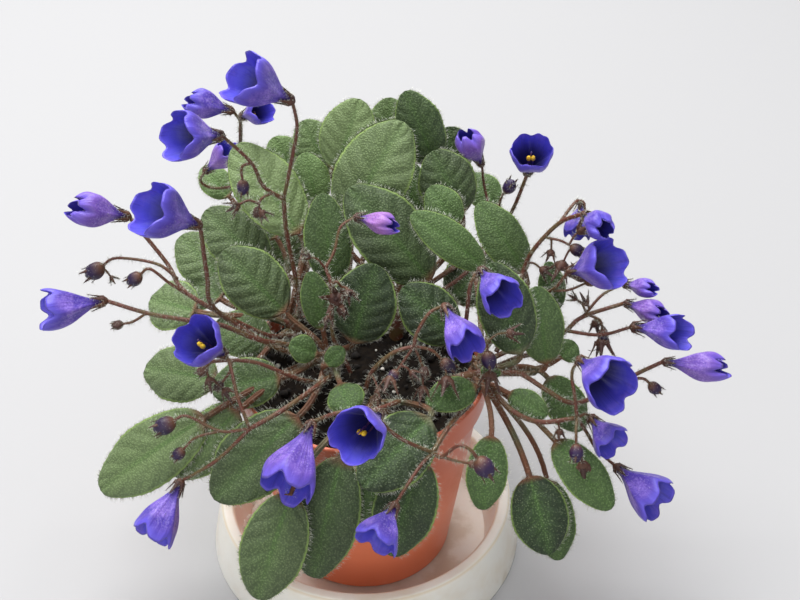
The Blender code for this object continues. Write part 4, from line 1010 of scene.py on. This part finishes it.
def soil_skin(rng):
    """Soil: a body of revolution whose top is roughened by three layers of crossed waves."""
    floor = DISH_FLOOR + GAP + POT_FLOOR + GAP
    outside = RIM_RADIUS - POT_WALL - GAP
    side = [
        (outside, RIM_TOP - BAND_HEIGHT + BAND_STEP + GAP), (pot_inner_radius(RIM_TOP) - GAP, RIM_TOP - BAND_HEIGHT + GAP),
        (pot_inner_radius(floor + 1.5) - GAP, floor + 1.5), (pot_inner_radius(floor) - 1.8, floor), (0.05, floor),
    ]
    radii = np.linspace(0.05, outside, 60)
    top = np.stack([radii, SOIL_TOP + SOIL_CROWN * (1.0 - (radii / outside) ** 2)], -1)
    rings = turned_rings(np.vstack([top, side]))
    x, y = rings[..., 0], rings[..., 1]
    rough = np.zeros_like(x)
    for waves, height in ((0.35, 0.5), (0.8, 0.35), (1.7, 0.25)):
        for turn in rng.uniform(0.0, math.tau, 4):
            rough += height / 2 * np.sin(waves * (x * math.cos(turn) + y * math.sin(turn)) + turn * 7.0)
    inner = (np.arange(len(rings)) < len(radii))[:, None] * smooth(0.0, 3.0, outside - np.hypot(x, y))
    rings[..., 2] += rough * inner - 0.2 * inner
    return rings


def add_grains(skin, number, least, most, slot, rng):
    """Grains on the soil: balls whose radius is roughened by waves, half sunk in, away from the stems."""
    feet = np.array([foot for foot, tip in STEMS.values()], dtype=float)
    angles = rng.uniform(0.0, math.tau, 4 * number)
    radii = (RIM_RADIUS - POT_WALL - 2.5) * np.sqrt(rng.uniform(0.0, 1.0, 4 * number))
    places = np.stack([radii * np.cos(angles), radii * np.sin(angles)], -1)
    clear = np.min(np.linalg.norm(places[:, None] - feet[None], axis=2), axis=1) > 5.0
    for place in places[clear][:number]:
        size = rng.uniform(least, most)
        sweep = np.linspace(0.35, math.pi - 0.35, 5)[:, None]
        round_it = math.tau * np.arange(8)[None] / 8
        bumps = 1.0 + 0.18 * rng.normal(0.0, 1.0, (5, 8))
        level = SOIL_TOP + SOIL_CROWN * (1.0 - (np.linalg.norm(place) / RIM_RADIUS) ** 2)
        centre = np.array([*place, level + 0.25 * size])
        ball = np.stack([np.sin(sweep) * np.cos(round_it), np.sin(sweep) * np.sin(round_it),
                         0.75 * np.cos(sweep) + 0 * round_it], -1)
        skin.add_rings(centre + size * bumps[..., None] * ball, slot, tone=rng.uniform(0.0, 1.0))


def leaf_paint(colours):
    """Velvety green: darker towards the midrib, with fine veins, a pale margin and a duller lower face; each blade
    is greyed by its tone as painted light and shade, with painted shade between the fine pebbles and a painted
    highlight on their tops.
    """
    paint = Paint("leaf", 0.62, Sheen_Weight=0.06, Sheen_Roughness=0.45, Sheen_Tint=(0.85, 0.95, 0.80, 1.0))
    along, across = paint.along_across()
    tone, lower = paint.attribute("tone"), paint.attribute("side")
    beside = abs(across)
    between = abs((along * VEIN_PAIRS - (beside ** 1.2) * (0.22 * VEIN_PAIRS) + 0.5).fraction() - 0.5)
    vein = between.ramp(0.0, 0.12, 1.0, 0.0) * beside.ramp(0.97, 0.75)
    quilt = between.ramp(0.0, 0.42) * beside.ramp(0.05, 0.35) * beside.ramp(1.0, 0.80) * lower.ramp(-1.0, 0.0)
    rib = beside.ramp(0.02, 0.12, 1.0, 0.0) * along.ramp(0.95, 0.15, 0.20, 1.0)
    on_blade = along.ramp(0.0, 0.10)
    blotch = paint.noise(70.0, 3.0)
    speck = paint.noise(1400.0, 2.0, 0.6)
    pebble = paint.cells(1400.0).ramp(0.10, 0.75, 1.0, 0.0)
    green = paint.mix(blotch.ramp(0.35, 0.65), colours.leaf_deep, colours.leaf_green)
    green = paint.mix((1.0 - beside).ramp(0.35, 1.0, 0.0, 0.35), green, colours.leaf_bright)
    green = paint.mix(vein * 0.16, green, colours.leaf_deep)
    # Painted light and shade: each blade is greyed by its tone, paler where light falls on it, darker in the middle
    # of the plant.
    green = paint.mix(tone, green, colours.leaf_lit_grey)
    green = paint.mix(lower.ramp(-0.3, -1.0) * 0.50, green, colours.leaf_bright)
    green = paint.mix(rib * 0.62, green, colours.leaf_bright)
    # Painted shade: darker in the hollows between the pebbles, most on the darker blades.
    green = paint.mix((1.0 - pebble) * (0.62 - tone * 0.36), green, colours.leaf_deep)
    # Painted highlight: the pebble tops lightened with the colour of the down, most on the darker blades.
    green = paint.mix(pebble.ramp(0.45, 1.0) * speck.ramp(0.42, 0.60) * (0.44 - tone * 0.34), green, colours.down)
    green = paint.mix(beside.ramp(0.91, 0.99) * 0.80, green, colours.leaf_margin)
    under = paint.mix(blotch.ramp(0.4, 0.7), colours.leaf_under, colours.leaf_margin)
    green = paint.mix(lower * 0.75, green, under)
    stalk = paint.mix(blotch.ramp(0.45, 0.75), colours.petiole, colours.leaf_under)
    colour = paint.mix(on_blade, stalk, green)
    relief = speck * 0.35 + pebble * 0.42 + quilt * 0.90 - vein * 0.12
    return paint.use(colour, 0.55 + speck * 0.2, relief, 0.0004)


def hair_paint(colours):
    paint = Paint("plant_hair", 0.45)
    along, across = paint.along_across()
    return paint.use(paint.mix(along.ramp(0.0, 0.8), colours.hair_foot, colours.hair))


def down_paint(colours):
    """Short hair on the blades, closer to the green beneath it than the long hair is."""
    paint = Paint("leaf_down", 0.5)
    along, across = paint.along_across()
    return paint.use(paint.mix(along.ramp(0.0, 1.0), colours.leaf_green, colours.down))


def stalk_paint(colours):
    """Reddish brown stem, greener in patches, with fine lengthwise streaks."""
    paint = Paint("flower_stalk", 0.5)
    along, across = paint.along_across()
    blotch = paint.noise(160.0, 3.0)
    streak = paint.noise(2200.0, 1.0)
    colour = paint.mix(blotch.ramp(0.4, 0.7), colours.stalk, colours.stalk_green)
    colour = paint.mix(streak.ramp(0.45, 0.7) * 0.35, colour, colours.stalk_dark)
    return paint.use(colour, None, streak, 0.00015)


def sepal_paint(colours):
    paint = Paint("sepal", 0.55)
    along, across = paint.along_across()
    tone = paint.attribute("tone")
    colour = paint.mix(tone, colours.sepal, colours.stalk_dark)
    colour = paint.mix(along.ramp(0.2, 1.0) * 0.5, colour, colours.stalk_dark)
    speck = paint.noise(1800.0, 2.0)
    return paint.use(colour, None, speck, 0.0002)


def bud_paint(colours):
    paint = Paint("bud", 0.5)
    along, across = paint.along_across()
    tone = paint.attribute("tone")
    dark = paint.mix(tone * 0.35, colours.bud, colours.petal_base)
    colour = paint.mix(along.ramp(0.1, 0.5), colours.sepal, dark)
    return paint.use(colour, None, paint.noise(1500.0, 2.0), 0.0002)


def petal_paint(colours):
    """Violet-blue: dark base, lilac bloom on the tube that is partly a painted sheen, deep blue lobes, a deep blue
    throat darkened as painted shade, and fine lengthwise veins.
    """
    paint = Paint("petal", 0.48, Sheen_Weight=0.16, Sheen_Roughness=0.4, Sheen_Tint=(0.75, 0.70, 1.0, 1.0))
    along, across = paint.along_across()
    tone, inside = paint.attribute("tone"), paint.attribute("side")
    coords = paint.node("ShaderNodeCombineXYZ", {}, {0: along * 1.2, 1: across * 26.0, 2: tone * 9.0}).outputs[0]
    vein = paint.noise(1.6, 2.0, 0.6, coords)
    cloud = paint.noise(190.0, 3.0, 0.6)
    frost = paint.noise(1500.0, 3.0, 0.6)
    tube = along.ramp(0.18, 0.48) * along.ramp(0.92, 0.62)
    outer = paint.mix(along.ramp(0.06, 0.36), colours.petal_base, colours.petal)
    # Lilac bloom in patches on the tube, partly the bell's own colour and partly a painted sheen.
    outer = paint.mix(tube * cloud.ramp(0.38, 0.66) * 0.70, outer, colours.petal_bloom_and_sheen)
    outer = paint.mix(along.ramp(0.72, 1.0) * 0.7, outer, colours.petal_lobe)
    outer = paint.mix(vein.ramp(0.5, 0.72) * 0.22, outer, colours.petal_base)
    outer = paint.mix(tone * along.ramp(0.16, 0.46) * along.ramp(1.25, 0.70), outer, colours.petal_pink)
    outer = paint.mix(tube * frost.ramp(0.48, 0.68) * 0.34, outer, colours.petal_frost)
    outer = paint.mix(tube * frost.ramp(0.52, 0.34) * 0.50, outer, colours.petal)
    # Painted shade: the inside darkens to the throat's deep blue deeper in the bell.
    inner = paint.mix(along.ramp(0.45, 0.88), colours.petal_throat_and_shade, colours.petal_inner)
    inner = paint.mix(along.ramp(0.76, 1.0) * 0.65, inner, colours.petal_lobe)
    inner = paint.mix(vein.ramp(0.5, 0.7) * 0.28, inner, colours.petal_throat_and_shade)
    # Lilac bloom inside towards the lobes, partly a painted sheen.
    inner = paint.mix(cloud.ramp(0.50, 0.66) * along.ramp(0.65, 1.0) * 0.25, inner, colours.petal_bloom_and_sheen)
    colour = paint.mix(inside, outer, inner)
    relief = vein * 0.45 + cloud * 0.5 + frost * 0.12
    return paint.use(colour, None, relief, 0.0005)


def plain_paint(name, colour, second, scale, roughness, depth, **constants):
    """A colour that drifts to a second one in soft patches, with a fine relief of the same grain."""
    paint = Paint(name, roughness, **constants)
    patch = paint.noise(scale, 3.0)
    fine = paint.noise(scale * 6.0, 2.0)
    mixed = paint.mix(patch.ramp(0.35, 0.65), colour, second)
    return paint.use(mixed, roughness - 0.08 + fine * 0.16, fine, depth)


def pot_paint(colours):
    """Terracotta-coloured plastic: even, satin, a little dusty in scuffed patches, painted paler towards the foot as
    painted light, with faint turning lines.
    """
    paint = Paint("pot_plastic", 0.34, Specular_IOR_Level=0.35)
    height = paint.height()
    patch = paint.noise(35.0, 3.0)
    scuff = paint.noise(420.0, 3.0, 0.65)
    lines = paint.noise(1.0, 2.0, 0.5, paint.node(
        "ShaderNodeCombineXYZ", {}, {0: height * 2400.0, 1: 0.0, 2: 0.0}).outputs[0])
    colour = paint.mix(patch.ramp(0.35, 0.65) * 0.5, colours.pot, colours.pot_deep)
    colour = paint.mix(scuff.ramp(0.62, 0.75) * 0.20, colour, colours.pot_dust)
    # Painted light: paler towards the foot, where leaves shade the pot's lower front.
    colour = paint.mix(height.ramp(0.055, 0.012) * 0.7, colour, colours.pot_foot_painted_light)
    return paint.use(colour, 0.28 + scuff * 0.16, lines * 0.6 + scuff * 0.2, 0.00006)


def saucer_paint(colours):
    """Milky plastic: translucent cream, a warmer line at the lip's edge, faint water marks in the dish."""
    paint = Paint("saucer_plastic", 0.38, Subsurface_Weight=0.25, Subsurface_Scale=0.004,
                  Subsurface_Radius=(1.0, 0.9, 0.75))
    height = paint.height()
    patch = paint.noise(45.0, 4.0, 0.6)
    fine = paint.noise(700.0, 2.0)
    colour = paint.mix(patch.ramp(0.4, 0.7) * 0.4, colours.saucer, colours.saucer_warm)
    colour = paint.mix(height.ramp(0.0206, 0.0216) * height.ramp(0.0219, 0.0214) * 0.8, colour, colours.saucer_warm)
    colour = paint.mix(height.ramp(0.006, 0.0016) * patch.ramp(0.52, 0.64) * 0.35, colour, colours.saucer_mark)
    return paint.use(colour, 0.30 + fine * 0.14, fine, 0.00004)


class PrimroseSizes(bpy.types.PropertyGroup):
    """Sizes that change the plant's fine detail but not its form."""

    hair_length: FloatProperty(name="Hair length", description="Longest common plant hair, in millimetres",
                               default=1.35, min=0.1, max=3.0)
    hair_radius: FloatProperty(name="Hair radius", description="Radius of a hair at its root, in millimetres",
                               default=0.062, min=0.01, max=0.2)
    hair_density: FloatProperty(name="Hair density", description="Share of the full number of hairs",
                                default=1.0, min=0.0, max=1.5)
    seed: IntProperty(name="Seed", description="Seed of every random draw", default=11, min=0)


def tint(name, description, default):
    return FloatVectorProperty(name=name, description=description, default=default, subtype="COLOR", size=3,
                               min=0.0, max=1.0)


class PrimroseColours(bpy.types.PropertyGroup):
    """Colours of the plant, the pot, the saucer and the studio, as linear values."""

    leaf_deep: tint("Leaf, deep", "Darkest green of a blade", (0.008, 0.019, 0.005))
    leaf_green: tint("Leaf", "Main green of a blade", (0.020, 0.048, 0.009))
    leaf_bright: tint("Leaf, bright", "Green along the midrib", (0.085, 0.190, 0.030))
    # Painted light: the pale grey-green that the lit blades are painted towards.
    leaf_lit_grey: tint("Leaf, grey", "Downy grey-green of the paler blades", (0.240, 0.335, 0.128))
    leaf_margin: tint("Leaf, margin", "Pale edge of a blade", (0.250, 0.370, 0.090))
    leaf_under: tint("Leaf, lower face", "Lower face of a blade", (0.105, 0.135, 0.065))
    petiole: tint("Petiole", "Leaf stalk", (0.150, 0.056, 0.024))
    # Also painted on the pebble tops of the blades as a painted highlight.
    down: tint("Down", "Short hair on the blades", (0.21, 0.26, 0.14))
    hair: tint("Hair", "Tip of a plant hair", (0.86, 0.88, 0.78))
    hair_foot: tint("Hair, foot", "Root of a plant hair", (0.30, 0.31, 0.20))
    stalk: tint("Flower stalk", "Reddish brown of a stalk", (0.125, 0.036, 0.019))
    stalk_green: tint("Flower stalk, green", "Greener patches of a stalk", (0.110, 0.074, 0.022))
    stalk_dark: tint("Flower stalk, dark", "Darkest brown of stalks and sepals", (0.040, 0.014, 0.012))
    sepal: tint("Sepal", "Orange-brown of a calyx", (0.125, 0.052, 0.027))
    bud: tint("Bud", "Dark purple of a bud", (0.014, 0.005, 0.024))
    petal: tint("Bell", "Violet of a bell's tube", (0.070, 0.038, 0.370))
    petal_base: tint("Bell, base", "Dark purple of a bell's base", (0.036, 0.009, 0.110))
    # Partly a painted sheen on the bells.
    petal_bloom_and_sheen: tint("Bell, bloom", "Lilac bloom on a bell's tube", (0.290, 0.175, 0.670))
    petal_frost: tint("Bell, frost", "Fine pale down on a bell's tube", (0.420, 0.330, 0.780))
    petal_pink: tint("Bell, pink", "Fading bells", (0.340, 0.140, 0.430))
    petal_lobe: tint("Bell, lobes", "Blue of a bell's lobes", (0.130, 0.100, 0.680))
    petal_inner: tint("Bell, inside", "Blue of the inside of a bell", (0.058, 0.052, 0.540))
    # Deep blue of the throat, partly its own colour and partly painted shade.
    petal_throat_and_shade: tint("Bell, throat", "Deep blue of a bell's throat", (0.007, 0.006, 0.085))
    anther: tint("Anther", "Yellow of the anthers", (0.90, 0.62, 0.03))
    anther_deep: tint("Anther, deep", "Shade of the anthers", (0.75, 0.40, 0.01))
    style: tint("Style", "Brown-purple of the style", (0.16, 0.06, 0.13))
    soil: tint("Soil", "Dark potting mix", (0.007, 0.005, 0.004))
    soil_pale: tint("Soil, pale", "Drier crumbs of the potting mix", (0.016, 0.011, 0.007))
    grain: tint("Grain", "White grains in the soil", (0.34, 0.32, 0.28))
    pot: tint("Pot", "Terracotta-coloured plastic", (0.680, 0.175, 0.092))
    pot_deep: tint("Pot, deep", "Deeper patches of the pot", (0.590, 0.135, 0.066))
    # Painted light on the pot's foot.
    pot_foot_painted_light: tint("Pot, foot", "Paler foot of the pot", (0.960, 0.290, 0.140))
    pot_dust: tint("Pot, dust", "Dust and scuffs on the pot", (0.760, 0.400, 0.280))
    saucer: tint("Saucer", "Milky plastic", (0.860, 0.830, 0.750))
    saucer_warm: tint("Saucer, warm", "Warmer parts of the saucer", (0.720, 0.600, 0.430))
    saucer_mark: tint("Saucer, marks", "Water marks in the dish", (0.520, 0.430, 0.310))
    floor: tint("Floor", "Studio floor", (0.400, 0.398, 0.402))


class StageSettings(bpy.types.PropertyGroup):
    """Camera and light."""

    focal_length: FloatProperty(name="Focal length", description="Camera lens, in millimetres", default=58.5)
    pitch: FloatProperty(name="Pitch", description="Angle of the camera below the level",
                         default=math.radians(37.5), subtype="ANGLE")
    place: FloatVectorProperty(name="Camera place", description="Where the camera stands",
                               default=(0.01331, -0.35676, 0.38822), subtype="TRANSLATION", unit="LENGTH")
    world: FloatProperty(name="World light", description="Strength of the light from all round", default=0.45)
    key: FloatProperty(name="Key light", description="Power of the overhead light, in watts", default=54.0)
    fill: FloatProperty(name="Fill light", description="Power of the light from the front, in watts", default=5.0)


def sizes_and_colours(context):
    return context.scene.primrose_sizes, context.scene.primrose_colours


class PRIMROSE_OT_saucer(bpy.types.Operator):
    """Builds the saucer: an inner dish, a flat lip and a widening skirt."""

    bl_idname = "primrose.saucer"
    bl_label = "Saucer"

    def execute(self, context):
        sizes, colours = sizes_and_colours(context)
        skin = Skin()
        skin.add_rings(turned_rings(rounded(saucer_profile())), 0)
        skin.make("saucer_dish", [saucer_paint(colours)], "saucer", "saucer")
        return {"FINISHED"}


class PRIMROSE_OT_pot(bpy.types.Operator):
    """Builds the pot with its band and drainage holes."""

    bl_idname = "primrose.pot"
    bl_label = "Pot"

    def execute(self, context):
        sizes, colours = sizes_and_colours(context)
        skin = Skin()
        skin.add_rings(turned_rings(rounded(pot_profile())), 0)
        pot = skin.make("plant_pot", [pot_paint(colours)], "pot", "pot")
        drill_holes(pot)
        return {"FINISHED"}


def drill_holes(pot):
    """Five drainage holes, cut by one Boolean difference with a collection of cylinders."""
    cutters = bpy.data.collections.new("drain_cutters")
    bottom = DISH_FLOOR + GAP
    for index in range(DRAIN_HOLES):
        angle = math.tau * index / DRAIN_HOLES
        turns = math.tau * np.arange(24)[None] / 24
        heights = np.array([bottom - 2.0, bottom + POT_FLOOR + 2.0])[:, None]
        rings = np.stack([DRAIN_CIRCLE * math.cos(angle) + DRAIN_RADIUS * np.cos(turns) + 0 * heights,
                          DRAIN_CIRCLE * math.sin(angle) + DRAIN_RADIUS * np.sin(turns) + 0 * heights,
                          heights + 0 * turns], -1)
        skin = Skin()
        skin.add_rings(rings, 0)
        mesh = bpy.data.meshes.new("drain_cutter")
        faces = [tuple(face) for part in skin.faces for face in part]
        mesh.from_pydata([tuple(point) for point in np.vstack(skin.points) * MM], [], faces)
        cutters.objects.link(bpy.data.objects.new("drain_cutter", mesh))
    cut = pot.modifiers.new("drain_holes", "BOOLEAN")
    cut.operation = "DIFFERENCE"
    cut.operand_type = "COLLECTION"
    cut.collection = cutters
    bpy.context.view_layer.update()
    evaluated = pot.evaluated_get(bpy.context.evaluated_depsgraph_get())
    whole = bpy.data.meshes.new_from_object(evaluated)
    pot.modifiers.clear()
    pot.data = whole
    for cutter in list(cutters.objects):
        bpy.data.objects.remove(cutter)
    bpy.data.collections.remove(cutters)


class PRIMROSE_OT_soil(bpy.types.Operator):
    """Builds the soil with its white grains and crumbs."""

    bl_idname = "primrose.soil"
    bl_label = "Soil"

    def execute(self, context):
        sizes, colours = sizes_and_colours(context)
        rng = np.random.default_rng(sizes.seed)
        skin = Skin()
        skin.add_rings(soil_skin(rng), 0)
        add_grains(skin, 22, 0.4, 1.0, 1, rng)
        add_grains(skin, 260, 0.5, 1.6, 2, rng)
        paints = [
            plain_paint("soil", colours.soil, colours.soil_pale, 420.0, 0.92, 0.0008,
                        Specular_IOR_Level=0.15),
            plain_paint("white_grain", colours.grain, colours.saucer, 500.0, 0.85, 0.0002),
            plain_paint("crumb", colours.soil_pale, colours.soil, 600.0, 0.92, 0.0004),
        ]
        skin.make("potting_soil", paints, "soil", "soil")
        return {"FINISHED"}


class PRIMROSE_OT_leafy_stems(bpy.types.Operator):
    """Builds the six leafy stems with their leaves and hairs."""

    bl_idname = "primrose.leafy_stems"
    bl_label = "Leafy stems"

    def execute(self, context):
        sizes, colours = sizes_and_colours(context)
        paints = [leaf_paint(colours), hair_paint(colours), stalk_paint(colours), down_paint(colours)]
        for number, (name, ((x, y), growing_point)) in enumerate(STEMS.items()):
            rng = np.random.default_rng((sizes.seed, 1, number))
            skin = Skin()
            foot = (x, y, SOIL_TOP - HOLE_DEPTH + GAP)
            collar = np.array([x, y, SOIL_TOP + COLLAR_HEIGHT])
            add_stem(skin, [foot, collar, growing_point], STEM_RADIUS, 2, 1, sizes, rng)
            own = [row for row in LEAVES if row[0] == name]
            top = np.array(growing_point, dtype=float)
            for index, row in enumerate(own):
                down = LEAFED_PART * (index + 1) / (len(own) + 1)
                add_leaf(skin, row, top + (collar - top) * down, sizes, rng)
            node = "leafy_stem_" + name
            skin.make("leaves_" + name, paints, "leaf", node)
        return {"FINISHED"}


class PRIMROSE_OT_flowers(bpy.types.Operator):
    """Builds the flower stalks with their calyces, buds and hairs, and the bells."""

    bl_idname = "primrose.flowers"
    bl_label = "Flower stalks and bells"

    def execute(self, context):
        sizes, colours = sizes_and_colours(context)
        stalk_paints = [stalk_paint(colours), sepal_paint(colours), bud_paint(colours), hair_paint(colours)]
        bell_paints = [
            petal_paint(colours),
            plain_paint("anther", colours.anther, colours.anther_deep, 900.0, 0.6, 0.0002),
            plain_paint("style", colours.style, colours.petal_throat_and_shade, 900.0, 0.5, 0.0001),
            hair_paint(colours),
        ]
        bell_number = 0
        for number, stems in enumerate(STALKS, start=1):
            rng = np.random.default_rng((sizes.seed, 2, number))
            skin = Skin()
            for radius, points, ending in stems:
                add_stem(skin, points, STALK_SLIM * radius, 0, 3, sizes, rng, tone=rng.uniform(0.0, 1.0))
                if ending is None:
                    continue
                kind, mouth, size = ending
                end = np.array(points[-1], dtype=float)
                if kind == BUD:
                    add_bud(skin, end, unit(end - np.array(points[-2], dtype=float)), size, sizes, rng)
                    continue
                mouth = np.array(mouth, dtype=float)
                calyx_size = 1.0 if size > SMALL_BELL else SMALL_CALYX
                add_sepals(skin, end, unit(mouth - end), calyx_size, 1, 3, sizes, rng)
                bell_number += 1
                bell = Skin()
                pale = PALE_BELLS.get(bell_number, 0.0)
                axis, up, side, length = add_bell(bell, end, mouth, size, kind, pale, sizes, rng)
                if kind == OPEN:
                    depth = ANTHER_DEPTH if bell_number in ANTHERS_SHOW else HIDDEN_ANTHER_DEPTH
                    add_anthers(bell, end, axis, up, side, length, size, depth)
                bell.make(f"bell_{bell_number:02d}", bell_paints, "petal", f"bloom_{bell_number:02d}")
            paths = [path_through(points, PATH_STEPS) for radius, points, ending in stems]
            for place, size in ((row[1], row[2]) for row in WITHERED if row[0] == number):
                add_withered(skin, paths, place, size, sizes, rng)
            skin.make(f"stalk_{number:02d}", stalk_paints, "stalk", f"flower_stalk_{number:02d}")
        return {"FINISHED"}


class PRIMROSE_OT_stage(bpy.types.Operator):
    """Builds the floor, the lights and the camera."""

    bl_idname = "primrose.stage"
    bl_label = "Studio"

    def execute(self, context):
        sizes, colours = sizes_and_colours(context)
        settings = context.scene.primrose_stage
        mesh = bpy.data.meshes.new("studio_floor")
        mesh.from_pydata([(-20, -20, 0), (20, -20, 0), (20, 20, 0), (-20, 20, 0)], [], [(0, 1, 2, 3)])
        floor = bpy.data.objects.new("studio_floor", mesh)
        floor.location.z = -0.0002
        paint = Paint("studio_floor", 0.85)
        mesh.materials.append(paint.use(colours.floor))
        context.scene.collection.objects.link(floor)
        world = bpy.data.worlds.new("studio")
        world.use_nodes = True
        background = world.node_tree.nodes["Background"]
        background.inputs["Color"].default_value = (0.96, 0.97, 1.0, 1.0)
        background.inputs["Strength"].default_value = settings.world
        context.scene.world = world
        light = bpy.data.lights.new("overhead", "AREA")
        light.energy = settings.key
        light.size = 1.4
        lamp = bpy.data.objects.new("overhead", light)
        lamp.location = (-0.30, 0.50, 1.6)
        lamp.rotation_euler = (math.radians(-17), math.radians(-10), 0.0)
        context.scene.collection.objects.link(lamp)
        soft = bpy.data.lights.new("front_fill", "AREA")
        soft.energy = settings.fill
        soft.size = 1.0
        fill = bpy.data.objects.new("front_fill", soft)
        fill.location = (-0.25, -1.1, 0.55)
        fill.rotation_euler = (math.radians(66), 0.0, math.radians(-12))
        context.scene.collection.objects.link(fill)
        camera = bpy.data.objects.new("camera", bpy.data.cameras.new("camera"))
        camera.data.lens = settings.focal_length
        camera.data.sensor_width = 36.0
        camera.location = settings.place
        camera.rotation_euler = (math.pi / 2 - settings.pitch, 0.0, 0.0)
        context.scene.collection.objects.link(camera)
        context.scene.camera = camera
        context.scene.view_settings.view_transform = "Standard"
        return {"FINISHED"}


OPERATORS = (PRIMROSE_OT_saucer, PRIMROSE_OT_pot, PRIMROSE_OT_soil, PRIMROSE_OT_leafy_stems, PRIMROSE_OT_flowers,
             PRIMROSE_OT_stage)


class PRIMROSE_PT_panel(bpy.types.Panel):
    """Lists the pieces of the potted cape primrose and their settings."""

    bl_label = "Potted cape primrose"
    bl_idname = "PRIMROSE_PT_panel"
    bl_space_type = "VIEW_3D"
    bl_region_type = "UI"
    bl_category = "Primrose"

    def draw(self, context):
        for operator in OPERATORS:
            self.layout.operator(operator.bl_idname)
        for group in ("primrose_sizes", "primrose_stage", "primrose_colours"):
            settings = getattr(context.scene, group)
            column = self.layout.column()
            for title in settings.__annotations__:
                column.prop(settings, title)


GROUPS = {"primrose_sizes": PrimroseSizes, "primrose_colours": PrimroseColours, "primrose_stage": StageSettings}


def register():
    for group in (*GROUPS.values(), *OPERATORS, PRIMROSE_PT_panel):
        bpy.utils.register_class(group)
    for title, group in GROUPS.items():
        setattr(bpy.types.Scene, title, PointerProperty(type=group))


def unregister():
    for title in GROUPS:
        delattr(bpy.types.Scene, title)
    for group in (PRIMROSE_PT_panel, *reversed(OPERATORS), *reversed(GROUPS.values())):
        bpy.utils.unregister_class(group)


def main():
    register()
    for operator in OPERATORS:
        group, name = operator.bl_idname.split(".")
        getattr(getattr(bpy.ops, group), name)()


if __name__ == "__main__":
    main()
